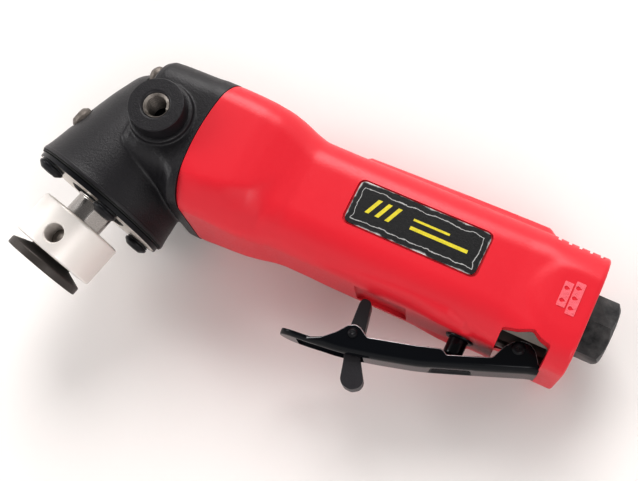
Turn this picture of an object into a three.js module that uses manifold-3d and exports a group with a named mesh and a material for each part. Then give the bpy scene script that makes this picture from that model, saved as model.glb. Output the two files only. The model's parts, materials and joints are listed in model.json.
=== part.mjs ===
// Pneumatic angle die grinder, lying on its side. Millimetres, +Z up.
//
// The handle axis runs along X, from the angle head at -X to the air inlet at +X. The throttle lever is on
// the -Y side. Z = 0 is the tool's plane of symmetry, which holds the handle axis and the spindle axis.
// Parts are drawn around the point where those two axes cross, the tool point. The exported origin is the
// centre of the clamp flange's outer face, so the whole tool sits in a group that is moved there.
import * as THREE from 'three';
import { mergeVertices } from 'three/addons/utils/BufferGeometryUtils.js';
import Module from 'manifold-3d';

const wasm = await Module();
wasm.setup();

// ---------------------------------------------------------------- driving dimensions

const headAngle = THREE.MathUtils.degToRad(103.5); // from the handle axis to the output end of the spindle
const gap = 0.1;            // between pieces that rest on each other
const runningGap = 0.25;    // between pieces that turn or slide past each other

// Along the spindle axis, from the tool point towards the wheel.
const coverJoint = 28;      // the gear housing's rim, where the bearing cover is screwed on
const coverThickness = 1.7;
const hubStart = 38.4;
const hubEnd = 53.7;
const wheelFace = 59.2;     // the clamp flange's outer face

const hubRadius = 15.3;
const flangeRadius = 14;
const rimRadius = 26;       // the gear housing's rim
const coverRadius = 25;
const coverScrewCircle = 21.9;
const coverScrewAngles = [56, 124, 236, 304].map(THREE.MathUtils.degToRad);

// Along the handle axis, from the tool point towards the inlet.
const headJoint = 22;       // the gear housing meets the grip and the motor housing
const gripEnd = 155.7;
const inletHexEnd = 164.6;
const inletHexAcross = 19;

const motorRadius = 17.2;   // the motor housing's outside, under the grip
const motorBore = 15.8;

// The side handle's bosses, one on each side of the head.
const bossX = 8.5;
const bossY = 1.5;
const bossRadius = 9.2;
const bossFace = 32.8;      // distance of each boss face from the plane of symmetry
const bossThreadRadius = 3.85;

// Throttle.
const leverPivotX = 140.8;
const leverPivotY = -17;
const leverHalfWidth = 7.4;
const leverSheet = 1.6;
const latchPivotX = 92.7;
const latchPivotY = -34.2;
const leverPinRadius = 1.6;
const latchPinRadius = 1.2;
const valveX = 123;

// Bevel gears.
const pinionTeeth = 11;
const gearTeeth = 24;
const gearPitchRadius = 17.2;
const toothFace = 6;

// ---------------------------------------------------------------- geometry helpers

/** Merged, gap-free, outward-facing copy of a geometry that keeps only position. */
function clean(source) {
  const bare = source.clone();
  for (const name of Object.keys(bare.attributes)) {
    if (name !== 'position') bare.deleteAttribute(name);
  }
  const merged = mergeVertices(bare, 1e-4);
  const index = merged.index.array;
  const position = merged.attributes.position;
  const a = new THREE.Vector3();
  const b = new THREE.Vector3();
  const c = new THREE.Vector3();
  const kept = [];
  let volume = 0;
  for (let i = 0; i < index.length; i += 3) {
    const [p, q, r] = [index[i], index[i + 1], index[i + 2]];
    if (p === q || q === r || r === p) continue;
    kept.push(p, q, r);
    a.fromBufferAttribute(position, p);
    b.fromBufferAttribute(position, q);
    c.fromBufferAttribute(position, r);
    volume += a.dot(b.cross(c));
  }
  if (volume < 0) kept.reverse();
  merged.setIndex(kept);
  return merged;
}

function solidOf(geometry) {
  const merged = clean(geometry);
  return new wasm.Manifold(new wasm.Mesh({
    numProp: 3,
    vertProperties: new Float32Array(merged.attributes.position.array),
    triVerts: new Uint32Array(merged.index.array),
  }));
}

function geometryOf(solid) {
  const mesh = solid.getMesh();
  const geometry = new THREE.BufferGeometry();
  geometry.setAttribute('position', new THREE.BufferAttribute(mesh.vertProperties, 3));
  geometry.setIndex(new THREE.BufferAttribute(mesh.triVerts, 1));
  return geometry;
}

/** The first geometry with all the others joined on. */
function join(first, ...others) {
  return geometryOf(others.reduce((sum, other) => sum.add(solidOf(other)), solidOf(first)));
}

/** The first geometry with all the others cut away. */
function cut(body, ...tools) {
  return geometryOf(tools.reduce((rest, tool) => rest.subtract(solidOf(tool)), solidOf(body)));
}

/** Turns a shape drawn around Y so that it runs along X, Y or Z instead. */
function along(axis, geometry) {
  if (axis === 'x') geometry.rotateZ(-Math.PI / 2);
  if (axis === 'z') geometry.rotateX(Math.PI / 2);
  return geometry;
}

/** A turned solid: the profile is a list of [radius, distance along the axis], on the axis at both ends. */
function turned(axis, profile, segments = 24) {
  const points = profile.map(([radius, height]) => new THREE.Vector2(radius, height));
  return along(axis, clean(new THREE.LatheGeometry(points, segments)));
}

function rod(axis, radius, start, end, segments = 24) {
  return turned(axis, [[0, start], [radius, start], [radius, end], [0, end]], segments);
}

function ring(axis, inner, outer, start, end, segments = 24) {
  return turned(axis, [[inner, start], [outer, start], [outer, end], [inner, end], [inner, start]], segments);
}

/** A hexagonal prism with flats that far apart. */
function hexagon(axis, acrossFlats, start, end) {
  return rod(axis, acrossFlats / Math.sqrt(3), start, end, 6);
}

function box(x0, x1, y0, y1, z0, z1) {
  const geometry = new THREE.BoxGeometry(x1 - x0, y1 - y0, z1 - z0);
  return geometry.translate((x0 + x1) / 2, (y0 + y1) / 2, (z0 + z1) / 2);
}

/** An outline in XY, extruded from z0 to z1. */
function plate(outline, z0, z1, curveSegments = 6) {
  const shape = outline instanceof THREE.Shape
    ? outline
    : new THREE.Shape(outline.map(([x, y]) => new THREE.Vector2(x, y)));
  const geometry = new THREE.ExtrudeGeometry(shape, { depth: z1 - z0, bevelEnabled: false, curveSegments });
  return geometry.translate(0, 0, z0);
}

/** A closed skin over a list of rings of points, one ring for each station, all with the same number. */
function loft(rings) {
  const count = rings[0].length;
  const vertices = rings.flat(2);
  const indices = [];
  const last = rings.length - 1;
  for (let s = 0; s < last; s++) {
    for (let i = 0; i < count; i++) {
      const a = s * count + i;
      const b = s * count + (i + 1) % count;
      indices.push(a, b, b + count, a, b + count, a + count);
    }
  }
  for (const [ringIndex, flip] of [[0, true], [last, false]]) {
    const middle = [0, 1, 2].map((k) => rings[ringIndex].reduce((sum, p) => sum + p[k], 0) / count);
    const centre = vertices.length / 3;
    vertices.push(...middle);
    for (let i = 0; i < count; i++) {
      const a = ringIndex * count + i;
      const b = ringIndex * count + (i + 1) % count;
      indices.push(...(flip ? [centre, b, a] : [centre, a, b]));
    }
  }
  const geometry = new THREE.BufferGeometry();
  geometry.setAttribute('position', new THREE.Float32BufferAttribute(vertices, 3));
  geometry.setIndex(indices);
  return geometry;
}

const cornerSteps = 4;
const undersideSteps = 4;

/**
 * A rounded rectangle across the handle, as a ring of points for loft. The crown is how far its underside
 * bows up towards both sides.
 */
function handleSection([x, top, bottom, halfWidth, upperCorner, lowerCorner = upperCorner, crown = 0]) {
  const corner = (quarter, ySide, zSide) => {
    const radius = ySide > 0 ? upperCorner : lowerCorner;
    const y = ySide > 0 ? top - radius : bottom + radius;
    const z = zSide * (halfWidth - radius);
    return Array.from({ length: cornerSteps + 1 }, (_, step) => {
      const angle = (quarter + step / cornerSteps) * Math.PI / 2;
      return [x, y + radius * Math.cos(angle), z + radius * Math.sin(angle)];
    });
  };
  const flatHalf = halfWidth - lowerCorner;
  const underside = Array.from({ length: undersideSteps - 1 }, (_, step) =>
    [x, bottom, flatHalf * (1 - 2 * (step + 1) / undersideSteps)]);
  const outline = [...corner(0, 1, 1), ...corner(1, -1, 1), ...underside, ...corner(2, -1, -1), ...corner(3, 1, -1)];
  return outline.map(([, y, z]) => {
    const lowness = Math.max(0, y / bottom);
    return [x, y + crown * (z / halfWidth) ** 2 * lowness ** 2, z];
  });
}

function handleLoft(stations) {
  return loft(stations.map(handleSection));
}

// ---------------------------------------------------------------- frames

const spindleDirection = new THREE.Vector3(Math.cos(headAngle), -Math.sin(headAngle), 0);
const forward = new THREE.Vector3(-Math.sin(headAngle), -Math.cos(headAngle), 0);

/** Local +Z runs along the spindle towards the wheel, and local +X towards the front of the head. */
const spindleFrame = new THREE.Matrix4().makeBasis(
  forward,
  new THREE.Vector3().crossVectors(spindleDirection, forward),
  spindleDirection,
);

function inSpindleFrame(geometry) {
  return clean(geometry).applyMatrix4(spindleFrame);
}

// ---------------------------------------------------------------- screws

/** Socket-head screw along Z: seat at 0, head towards +Z, shank towards -Z. */
function socketScrew({ headRadius, headHeight, shankRadius, shankLength, socket }) {
  const body = turned('z', [
    [0, -shankLength],
    [shankRadius, -shankLength],
    [shankRadius, 0],
    [headRadius, 0],
    [headRadius, headHeight * 0.4],
    [headRadius * 0.7, headHeight],
    [0, headHeight],
  ], 12);
  return cut(body, hexagon('z', socket, headHeight * 0.4, headHeight + 1));
}

// ---------------------------------------------------------------- gear housing

const coverScrew = { headRadius: 4.5, headHeight: 2.3, shankRadius: 1.95, shankLength: 10, socket: 3 };
const headScrew = { headRadius: 3.5, headHeight: 3.4, shankRadius: 1.95, shankLength: 29, socket: 2.6 };
const lowerHeadScrew = { ...headScrew, shankLength: 10 };
const greaseScrew = { headRadius: 3.5, headHeight: 2.6, shankRadius: 2.4, shankLength: 5, socket: 2.6 };

const washerHeight = 0.7;
const bearingStart = 13.4;   // lower spindle bearing, along the spindle
const bearingEnd = 24.4;
const bearingRadius = 17.5;
const upperBearingStart = -14.5;
const upperBearingEnd = -9.5;
const upperBearingRadius = 8;
const rotorBearingRadius = 11;
const frontBearingStart = 18.4;
const frontBearingEnd = 25.4;
const screwHeadSeats = [
  { x: -1.5, y: 15.5, z: 17.5, screw: headScrew },
  { x: -1.5, y: 15.5, z: -17.5, screw: headScrew },
  { x: 18.2, y: -15.2, z: 15.6, screw: lowerHeadScrew },
  { x: 18.2, y: -15.2, z: -15.6, screw: lowerHeadScrew },
];
const greaseScrewHeight = 11.8;                          // along the spindle
const greaseScrewAngle = THREE.MathUtils.degToRad(33);   // from the front towards +Z
const greaseScrewSeat = 22.4;                            // from the spindle axis

/** Turns a shape drawn along local +Z to point outwards from the spindle, at the grease screw. */
function atGreaseScrew(geometry) {
  return geometry
    .rotateY(Math.PI / 2)
    .translate(greaseScrewSeat, 0, 0)
    .rotateZ(-greaseScrewAngle)
    .translate(0, 0, greaseScrewHeight);
}

function gearHousing() {
  const spindleCase = inSpindleFrame(turned('z', [
    [0, -17], [13.5, -17], [16.8, -15.2], [18.8, -11.5], [21.2, -2], [22.8, 7], [24.4, 18], [25.4, 24.8],
    [rimRadius, 27.4], [rimRadius, coverJoint], [0, coverJoint],
  ], 36));
  const neck = handleLoft([
    [-1.5, 20.3, -17, 22.4, 7.5, 7, 5],
    [-0.4, 22, -18, 24, 9, 8, 5.5],
    [1.6, 23, -19, 25, 9.8, 9, 5.5],
    [6, 23.1, -20, 25.2, 10, 9, 5.5],
    [12, 23.2, -20.1, 25.3, 10, 9, 5.5],
    [15, 23.2, -20.8, 25.3, 10, 9, 5.5],
    [18.5, 23.2, -22, 25.3, 9.8, 9, 4.5],
    [20.5, 23.3, -22.3, 25.3, 9.6, 9.4, 1.5],
    [headJoint, 23.3, -22.4, 25.3, 9.6],
  ]);
  const bosses = [1, -1].map((side) => turned('z', [
    [0, 0], [10.6, 0], [10.6, 27.2], [10, 27.6], [bossRadius, 27.8], [bossRadius, bossFace - 0.4],
    [bossRadius - 0.4, bossFace], [0, bossFace],
  ], 24).scale(1, 1, side).translate(bossX, bossY, 0));
  const body = join(spindleCase, neck, ...bosses);

  const gearChamber = inSpindleFrame(turned('z', [
    [0, upperBearingStart - gap], [upperBearingRadius + gap, upperBearingStart - gap],
    [upperBearingRadius + gap, upperBearingEnd + 1], [13, -4], [18.8, 0], [18.8, bearingStart - gap - 0.6],
    [bearingRadius + gap, bearingStart - gap], [bearingRadius + gap, coverJoint + 1], [0, coverJoint + 1],
  ], 32));
  const motorOpening = turned('x', [
    [0, 4], [9.6, 4], [9.6, frontBearingStart - gap], [rotorBearingRadius + gap, frontBearingStart - gap],
    [rotorBearingRadius + gap, headJoint + 1], [0, headJoint + 1],
  ]);
  const coverScrewHoles = coverScrewAngles.map((angle) => inSpindleFrame(
    rod('z', coverScrew.shankRadius + gap, coverJoint - 8, coverJoint + 1, 12)
      .translate(coverScrewCircle * Math.cos(angle), coverScrewCircle * Math.sin(angle), 0),
  ));
  const screwHoles = screwHeadSeats.flatMap(({ x, y, z, screw }) => [
    rod('x', screw.shankRadius + gap, x - 3, headJoint + 1, 12).translate(0, y, z),
    rod('x', screw.headRadius + 0.9, x - 4.6, x, 16).translate(0, y, z),
  ]);
  const greasePocket = inSpindleFrame(atGreaseScrew(rod('z', 4.8, 0, 8, 16)));
  const greaseHole = inSpindleFrame(atGreaseScrew(rod('z', greaseScrew.shankRadius + gap, -6, 1, 12)));
  const sideHandleHoles = [1, -1].map((side) => rod('z', bossThreadRadius, 21.9, bossFace + 1, 20)
    .scale(1, 1, side).translate(bossX, bossY, 0));
  return cut(body, gearChamber, motorOpening, ...coverScrewHoles, ...screwHoles, greasePocket, greaseHole,
    ...sideHandleHoles);
}

function withCoverScrewHoles(geometry, start, end) {
  return cut(geometry, ...coverScrewAngles.map((angle) => rod('z', 2.3, start, end, 12)
    .translate(coverScrewCircle * Math.cos(angle), coverScrewCircle * Math.sin(angle), 0)));
}

const gasketHeight = 0.5;
const coverBase = coverJoint + gap + gasketHeight + gap;
const coverTop = coverBase + coverThickness;

function coverGasket() {
  const sheet = ring('z', bearingRadius + 0.4, rimRadius - 0.3, coverJoint + gap, coverJoint + gap + gasketHeight, 32);
  return withCoverScrewHoles(sheet, coverJoint - 1, coverJoint + 2);
}

function bearingCover() {
  const disc = turned('z', [
    [9.4, bearingEnd + gap], [bearingRadius - 0.2, bearingEnd + gap], [bearingRadius - 0.2, coverBase],
    [coverRadius, coverBase], [coverRadius, coverTop - 0.7], [coverRadius - 0.7, coverTop],
    [11.3, coverTop], [11.3, 26], [9.4, 26], [9.4, bearingEnd + gap],
  ], 32);
  return withCoverScrewHoles(disc, coverBase - 1, coverTop + 1);
}

function coverWasher() {
  return ring('z', 2.15, 4.2, coverTop + gap, coverTop + gap + washerHeight, 16);
}

// ---------------------------------------------------------------- bevel gears

/**
 * A ring of straight bevel teeth around +Z with its apex at the origin. Each ring of points is one closed
 * outline of all the teeth on a sphere around the apex; the two outlines differ only in scale.
 */
function bevelTeeth({ teeth, coneAngle, outerDistance, faceWidth, bore, hubProfile, thinning }) {
  const pitchRadius = outerDistance * Math.sin(coneAngle);
  const module = 2 * pitchRadius / teeth;
  const virtualRadius = pitchRadius / Math.cos(coneAngle);
  const baseRadius = virtualRadius * Math.cos(Math.PI / 9);
  const involute = (radius) => {
    const angle = Math.acos(Math.min(1, baseRadius / radius));
    return Math.tan(angle) - angle;
  };
  const tip = virtualRadius + 0.8 * module;
  const root = virtualRadius - 1.1 * module;
  const halfTooth = (Math.PI / 2 - thinning) / (virtualRadius * 2 / module);
  const flank = [root, virtualRadius, tip];
  const outline = [];
  for (let tooth = 0; tooth < teeth; tooth++) {
    for (const side of [-1, 1]) {
      const radii = side < 0 ? flank : [...flank].reverse();
      for (const radius of radii) {
        const spread = halfTooth + involute(virtualRadius) - involute(Math.max(radius, baseRadius));
        outline.push({
          azimuth: 2 * Math.PI * tooth / teeth + side * spread / Math.cos(coneAngle),
          polar: coneAngle + (radius - virtualRadius) / outerDistance,
        });
      }
    }
  }
  const ringAt = (distance) => outline.map(({ azimuth, polar }) => [
    distance * Math.sin(polar) * Math.cos(azimuth),
    distance * Math.sin(polar) * Math.sin(azimuth),
    distance * Math.cos(polar),
  ]);
  const toothed = loft([ringAt(outerDistance - faceWidth), ringAt(outerDistance)]);
  return cut(join(toothed, turned('z', hubProfile)), rod('z', bore, -5, 40));
}

const shaftAngle = headAngle;
const gearRatio = gearTeeth / pinionTeeth;
const pinionCone = Math.atan2(Math.sin(shaftAngle), gearRatio + Math.cos(shaftAngle));
const gearCone = shaftAngle - pinionCone;
const coneDistance = gearPitchRadius / Math.sin(gearCone);
const toothThinning = 0.16;   // backlash, as a share of the module taken from each tooth

function bevelGear() {
  const teeth = bevelTeeth({
    teeth: gearTeeth,
    coneAngle: gearCone,
    outerDistance: coneDistance,
    faceWidth: toothFace,
    bore: 6.6,
    thinning: toothThinning,
    hubProfile: [[0, 3.6], [10.5, 3.7], [16, 5.5], [16.2, 7.5], [9.5, 11], [9.5, 13.2], [0, 13.2]],
  });
  return teeth.rotateZ(Math.PI + Math.PI / gearTeeth);
}

function pinion() {
  return bevelTeeth({
    teeth: pinionTeeth,
    coneAngle: pinionCone,
    outerDistance: coneDistance,
    faceWidth: toothFace,
    bore: 4.1,
    thinning: toothThinning,
    hubProfile: [[0, 15.2], [5.9, 15.2], [5.9, frontBearingStart - gap], [0, frontBearingStart - gap]],
  });
}

// ---------------------------------------------------------------- spindle and output

const spindleJournal = 7.5;
const spindleNeck = 7.1;
const spindleThread = 5;

function spindle() {
  const body = turned('z', [
    [0, upperBearingStart + 0.5], [4, upperBearingStart + 0.5], [4, upperBearingEnd + gap],
    [5.2, upperBearingEnd + gap], [5.2, 2.6], [6.5, 4], [6.5, bearingStart - 0.2],
    [spindleJournal, bearingStart - 0.2], [spindleJournal, 31], [spindleNeck, 31.6],
    [spindleNeck, hubStart - gap], [spindleThread, hubStart - gap], [spindleThread, hubEnd - 0.8], [0, hubEnd - 0.8],
  ]);
  const flats = [1, -1].map((side) => box(-9, 9, side > 0 ? 6.3 : -9, side > 0 ? 9 : -6.3, 32.4, hubStart)
    .rotateZ(THREE.MathUtils.degToRad(-58)));
  const flangeThread = rod('z', 3.2, hubStart + 4, hubEnd + 1, 16);
  return cut(body, ...flats, flangeThread);
}

function bearing(axis, inner, outer, start, end) {
  const lip = 0.4;
  return turned(axis, [
    [inner, start], [outer - lip, start], [outer, start + lip], [outer, end - lip],
    [outer - lip, end], [inner, end], [inner, start],
  ]);
}

function spindleSeal() {
  return turned('z', [
    [spindleJournal + runningGap, 27.5], [9, 26 + gap], [11.2, 26 + gap], [11.2, 30.4], [10.2, 30.9],
    [8.6, 29.4], [spindleJournal + runningGap, 28.6], [spindleJournal + runningGap, 27.5],
  ]);
}

const hubHoleAngle = THREE.MathUtils.degToRad(-99);
const hubHoleHeight = 47.3;

function drumHub() {
  const round = 1.1;
  const body = turned('z', [
    [spindleThread + gap, hubStart], [hubRadius - round, hubStart], [hubRadius - 0.3, hubStart + 0.35],
    [hubRadius, hubStart + round], [hubRadius, hubEnd - round], [hubRadius - 0.3, hubEnd - 0.35],
    [hubRadius - round, hubEnd], [spindleThread + gap, hubEnd], [spindleThread + gap, hubStart],
  ], 32);
  const hole = rod('x', 3.25, spindleThread - 1, hubRadius + 2, 20).rotateZ(hubHoleAngle)
    .translate(0, 0, hubHoleHeight);
  return cut(body, hole);
}

function clampFlange() {
  const rimThickness = 2.7;
  const rimBack = wheelFace - rimThickness;
  const body = turned('z', [
    [0, hubStart + 6], [2.9, hubStart + 6], [2.9, hubEnd + gap], [7.9, hubEnd + gap], [7.9, hubEnd + 0.6],
    [flangeRadius - 0.7, rimBack], [flangeRadius, rimBack + 0.7], [flangeRadius, wheelFace - 0.7],
    [flangeRadius - 0.7, wheelFace], [0, wheelFace],
  ], 32);
  const pinHoles = [8.5, -8.5].map((x) => rod('z', 2, wheelFace - 2.6, wheelFace + 1, 12).translate(x, 0, 0));
  return cut(body, ...pinHoles);
}

// ---------------------------------------------------------------- motor

const frontPlateStart = 26;
const linerStart = 31.2;
const linerEnd = 77;
const rearPlateEnd = 85;
const rotorRadius = 11;
const linerBore = 12.4;
const linerOffset = 1.1;     // the bore's centre lies this far below the rotor's
const vaneCount = 5;
const vaneSlotFloor = 5.4;
const vaneSlotHalf = 1;

function rotor() {
  const body = turned('x', [
    [0, 11.6], [3.9, 11.6], [3.9, linerStart + 0.3], [rotorRadius, linerStart + 0.3],
    [rotorRadius, linerEnd - 0.3], [2.9, linerEnd - 0.3], [2.9, rearPlateEnd - 0.4], [0, rearPlateEnd - 0.4],
  ], 30);
  const slots = Array.from({ length: vaneCount }, (_, i) =>
    box(linerStart, linerEnd, vaneSlotFloor, rotorRadius + 1, -vaneSlotHalf, vaneSlotHalf)
      .rotateX(2 * Math.PI * i / vaneCount));
  return cut(body, ...slots);
}

function vane(i) {
  const clearance = 0.15;
  return box(linerStart + 0.4, linerEnd - 0.4, vaneSlotFloor + clearance, rotorRadius - 0.1,
    -vaneSlotHalf + clearance, vaneSlotHalf - clearance).rotateX(2 * Math.PI * i / vaneCount);
}

function cylinderLiner() {
  const body = rod('x', motorBore - gap, linerStart, linerEnd, 32);
  const bore = rod('x', linerBore, linerStart - 1, linerEnd + 1, 32).translate(0, -linerOffset, 0);
  const exhaustPorts = [42, 52, 62].map((x) => box(x, x + 4, 8, 18, -5, 5));
  const inletPort = box(linerEnd - 5, linerEnd + 1, -18, -8, 4, 8);
  return cut(body, bore, ...exhaustPorts, inletPort);
}

function endPlate(shaftRadius, start, end, bearingBore, bearingFrom, bearingTo) {
  const body = ring('x', shaftRadius + 0.4, motorBore - gap, start, end, 32);
  return cut(body, rod('x', bearingBore, bearingFrom, bearingTo));
}

// ---------------------------------------------------------------- motor housing

const housingEnd = 154.6;
const valveChamberTop = 9.5;
const valveChamberRadius = 6.4;
const inletThreadRadius = 8;
const inletThreadStart = 137;
const exhaustChannel = { start: 40, end: housingEnd - 1, floor: 13.2, half: 5 };
const lugHalfWidth = 5.4;
const lugRadius = 3.2;

function motorHousing() {
  const flange = handleLoft([
    [headJoint + gap, 20.4, -19.4, 22.4, 7.4],
    [29.4, 20.3, -19.3, 22.2, 7.4],
  ]);
  const taper = turned('x', [[0, 29], [19, 29], [motorRadius, 33], [motorRadius, housingEnd - 0.8],
    [motorRadius - 0.8, housingEnd], [0, housingEnd]], 32);
  const lug = rod('z', lugRadius, -lugHalfWidth, lugHalfWidth).translate(leverPivotX, leverPivotY, 0);
  const body = join(flange, taper, lug);

  const motorBay = turned('x', [
    [0, headJoint - 1], [rotorBearingRadius + gap, headJoint - 1], [rotorBearingRadius + gap, frontPlateStart - gap],
    [motorBore, frontPlateStart - gap], [motorBore, rearPlateEnd + gap], [7, rearPlateEnd + gap], [7, rearPlateEnd + 5],
    [0, rearPlateEnd + 5],
  ], 32);
  const inletBore = turned('x', [
    [0, valveX], [4.6, valveX], [4.6, inletThreadStart], [inletThreadRadius + gap, inletThreadStart],
    [inletThreadRadius + gap, housingEnd + 1], [0, housingEnd + 1],
  ]);
  const valveChamber = turned('y', [
    [0, -22], [6.3, -22], [6.3, -12], [valveChamberRadius, -12], [valveChamberRadius, valveChamberTop],
    [0, valveChamberTop],
  ]).translate(valveX, 0, 0);
  const feedPassage = rod('x', 2.6, rearPlateEnd, valveX, 12).translate(0, 4, 0);
  const channel = box(exhaustChannel.start, exhaustChannel.end, exhaustChannel.floor, motorRadius + 2,
    -exhaustChannel.half, exhaustChannel.half);
  const exhaustPorts = [42, 52, 62].map((x) => box(x, x + 4, 8, motorRadius, -5 + gap, 5 - gap));
  const leverPinBore = rod('z', leverPinRadius + gap, -30, 30, 16).translate(leverPivotX, leverPivotY, 0);
  const earPockets = [1, -1].map((side) => plate(
    [[133.2, -28], [133.2, -11.6], [148.6, -11.6], [148.6, -28]],
    side > 0 ? lugHalfWidth : -leverHalfWidth - 2.2,
    side > 0 ? leverHalfWidth + 2.2 : -lugHalfWidth,
  ));
  const screwHoles = screwHeadSeats.map(({ y, z, screw }) =>
    rod('x', screw.shankRadius + gap, headJoint - 1, headJoint + 6.9, 12).translate(0, y, z));
  return cut(body, motorBay, inletBore, valveChamber, feedPassage, channel, ...exhaustPorts, leverPinBore,
    ...earPockets, ...screwHoles);
}

// ---------------------------------------------------------------- grip

/** Each station: distance along the handle, top, bottom, half width, upper corner, lower corner if different. */
const gripStations = [
  [headJoint + 0.15, 23.2, -22.4, 25.2, 9.6],
  [24, 23.5, -22.6, 25.5, 10],
  [38, 23.3, -22.6, 25.2, 10],
  [45, 22.8, -22.4, 24.2, 10.5],
  [50, 21.9, -21.7, 22.9, 11],
  [55, 20.4, -20.7, 21.5, 11.5],
  [59, 19.6, -20.4, 20.6, 12],
  [72, 19.7, -20.5, 20.2, 12],
  [100, 19.9, -20.5, 20.2, 12],
  [132, 20, -20.3, 20.3, 11],
  [139, 19.8, -20.5, 20.7, 10.8, 9.5],
  [142, 19.5, -20.8, 21, 11.5, 9],
  [gripEnd - 1.2, 19.5, -20.8, 21, 11.5, 9],
  [gripEnd, 18.6, -19.8, 20, 10.8, 8.4],
];
const padStations = [
  [72.5, 18.6, 10, 11, 3],
  [73.6, 20.9, 10, 12, 4.5],
  [104, 21.7, 10, 12, 4.5],
  [134.2, 22.3, 10, 12, 4.5],
  [138.2, 19.2, 10, 11, 3],
];
const nameplateOutline = { x0: 76.3, x1: 120.4, y0: -5.2, y1: 9.3 };
const nameplateFloor = 19.4;
const latchPocket = { x0: 86.5, x1: 104.5, floor: -18.9, half: 8.2 };   // takes the latch's arm as it folds
const louvres = { first: 138.5, pitch: 3.4, count: 5, width: 1.1, half: 16.5 };
const pivotWindow = [[133.9, -26], [133.9, -15.3], [139.4, -14.3], [142.6, -12.4], [145.2, -14], [148.7, -15],
  [148.7, -26]];

function gripCover() {
  const outer = join(handleLoft(gripStations), handleLoft(padStations));
  const inner = handleLoft([
    [headJoint - 2, 20.6, -19.6, 22.6, 7.5],
    [31, 20.6, -19.6, 22.6, 7.5],
    [44, 19.4, -19.2, 21.2, 8.4],
    [55, 17.6, -17.6, 18.6, 9.4],
    [60, 17.5, -17.5, 17.8, 9.6],
    [gripEnd + 2, 17.5, -17.5, 17.8, 9.6],
  ]);
  const { x0, x1, y0, y1 } = nameplateOutline;
  const nameplateRecess = box(x0 - 0.6, x1 + 0.6, y0 - 0.6, y1 + 0.4, nameplateFloor, 24);
  const pocket = box(latchPocket.x0, latchPocket.x1, -24, latchPocket.floor, -latchPocket.half, latchPocket.half);
  const valveHole = rod('y', 6.5, -24, -10, 20).translate(valveX, 0, 0);
  const pivotOpening = plate(pivotWindow, -30, 30);
  const slots = Array.from({ length: louvres.count }, (_, k) => {
    const x = louvres.first + k * louvres.pitch;
    return box(x, x + louvres.width, 17, 24, -louvres.half, louvres.half);
  });
  return cut(outer, inner, nameplateRecess, pocket, valveHole, pivotOpening, ...slots);
}

function nameplate() {
  const { x0, x1, y0, y1 } = nameplateOutline;
  const round = 2.4;
  const outline = new THREE.Shape();
  outline.moveTo(x0, y1);
  outline.lineTo(x0, y0 + round);
  outline.quadraticCurveTo(x0, y0, x0 + round, y0);
  outline.lineTo(x1 - round * 1.6, y0);
  outline.quadraticCurveTo(x1 - 0.6, y0, x1 - 0.4, y0 + round * 1.6);
  outline.lineTo(x1, y1);
  return plate(outline, nameplateFloor + gap, nameplateFloor + 0.6);
}

// ---------------------------------------------------------------- throttle valve and air inlet

const bushingBottom = -20.6;
const bushingTop = -12;
const stemShank = 2.1;
const stemTip = -27.8;
const poppetBase = bushingTop + gap;

function valveBushing() {
  return turned('y', [
    [stemShank + runningGap, bushingBottom], [5.6, bushingBottom], [5.6, -18.6], [6.2, -17.4], [6.2, bushingTop],
    [stemShank + runningGap, bushingTop], [stemShank + runningGap, bushingBottom],
  ], 20).translate(valveX, 0, 0);
}

function valveStem() {
  return turned('y', [
    [0, stemTip], [2.2, stemTip + 0.6], [3.2, stemTip + 2.2], [3.2, stemTip + 3],
    [stemShank, stemTip + 3], [stemShank, poppetBase], [4.8, poppetBase], [4.8, poppetBase + 2.2],
    [2, poppetBase + 2.2], [2, poppetBase + 5], [0, poppetBase + 5],
  ], 16).translate(valveX, 0, 0);
}

/** A coil spring: a round wire swept along a helix. */
function coilSpring({ axis, coilRadius, wireRadius, start, end, turns }) {
  class Helix extends THREE.Curve {
    getPoint(t, target = new THREE.Vector3()) {
      const angle = 2 * Math.PI * turns * t;
      const height = start + wireRadius + (end - start - 2 * wireRadius) * t;
      return target.set(coilRadius * Math.cos(angle), height, coilRadius * Math.sin(angle));
    }
  }
  const section = new THREE.Shape();
  section.absarc(0, 0, wireRadius, 0, 2 * Math.PI);
  const wire = new THREE.ExtrudeGeometry(section, {
    extrudePath: new Helix(), steps: turns * 10, curveSegments: 2,
  });
  return along(axis, clean(wire));
}

function valveSpring() {
  return coilSpring({
    axis: 'y', coilRadius: 4, wireRadius: 0.5, start: poppetBase + 3, end: valveChamberTop - 0.2, turns: 5,
  }).translate(valveX, 0, 0);
}

function inletBushing() {
  const thread = turned('x', [
    [0, inletThreadStart + 1], [inletThreadRadius - 1, inletThreadStart + 1], [inletThreadRadius, inletThreadStart + 2],
    [inletThreadRadius, 153], [7.2, 153.6], [7.2, gripEnd + 0.2], [0, gripEnd + 0.2],
  ]);
  const hexBlank = hexagon('x', inletHexAcross, gripEnd, inletHexEnd).rotateX(THREE.MathUtils.degToRad(33));
  const chamferRadius = inletHexAcross / 2;
  const chamfer = turned('x', [
    [0, gripEnd - 1], [chamferRadius + 2, gripEnd - 1], [chamferRadius + 2, inletHexEnd - 1.6],
    [chamferRadius - 0.4, inletHexEnd], [0, inletHexEnd],
  ], 36);
  const hex = geometryOf(solidOf(hexBlank).intersect(solidOf(chamfer)));
  const bore = turned('x', [
    [0, inletThreadStart - 1], [5, inletThreadStart - 1], [5, 150], [6, 151], [6, inletHexEnd - 1],
    [6.8, inletHexEnd + 1], [0, inletHexEnd + 1],
  ]);
  return cut(join(thread, hex), bore);
}

function inletScreen() {
  const outer = 4.8;
  const wall = 0.5;
  return turned('x', [
    [0, 139.4], [outer - 1.2, 139.4], [outer - 0.6, 141], [outer - 0.4, 149.2], [outer - 0.4 - wall, 149.2],
    [outer - 0.6 - wall, 141.2], [outer - 1.3 - wall / 2, 139.4 + wall], [0, 139.4 + wall],
  ], 16);
}

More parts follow.
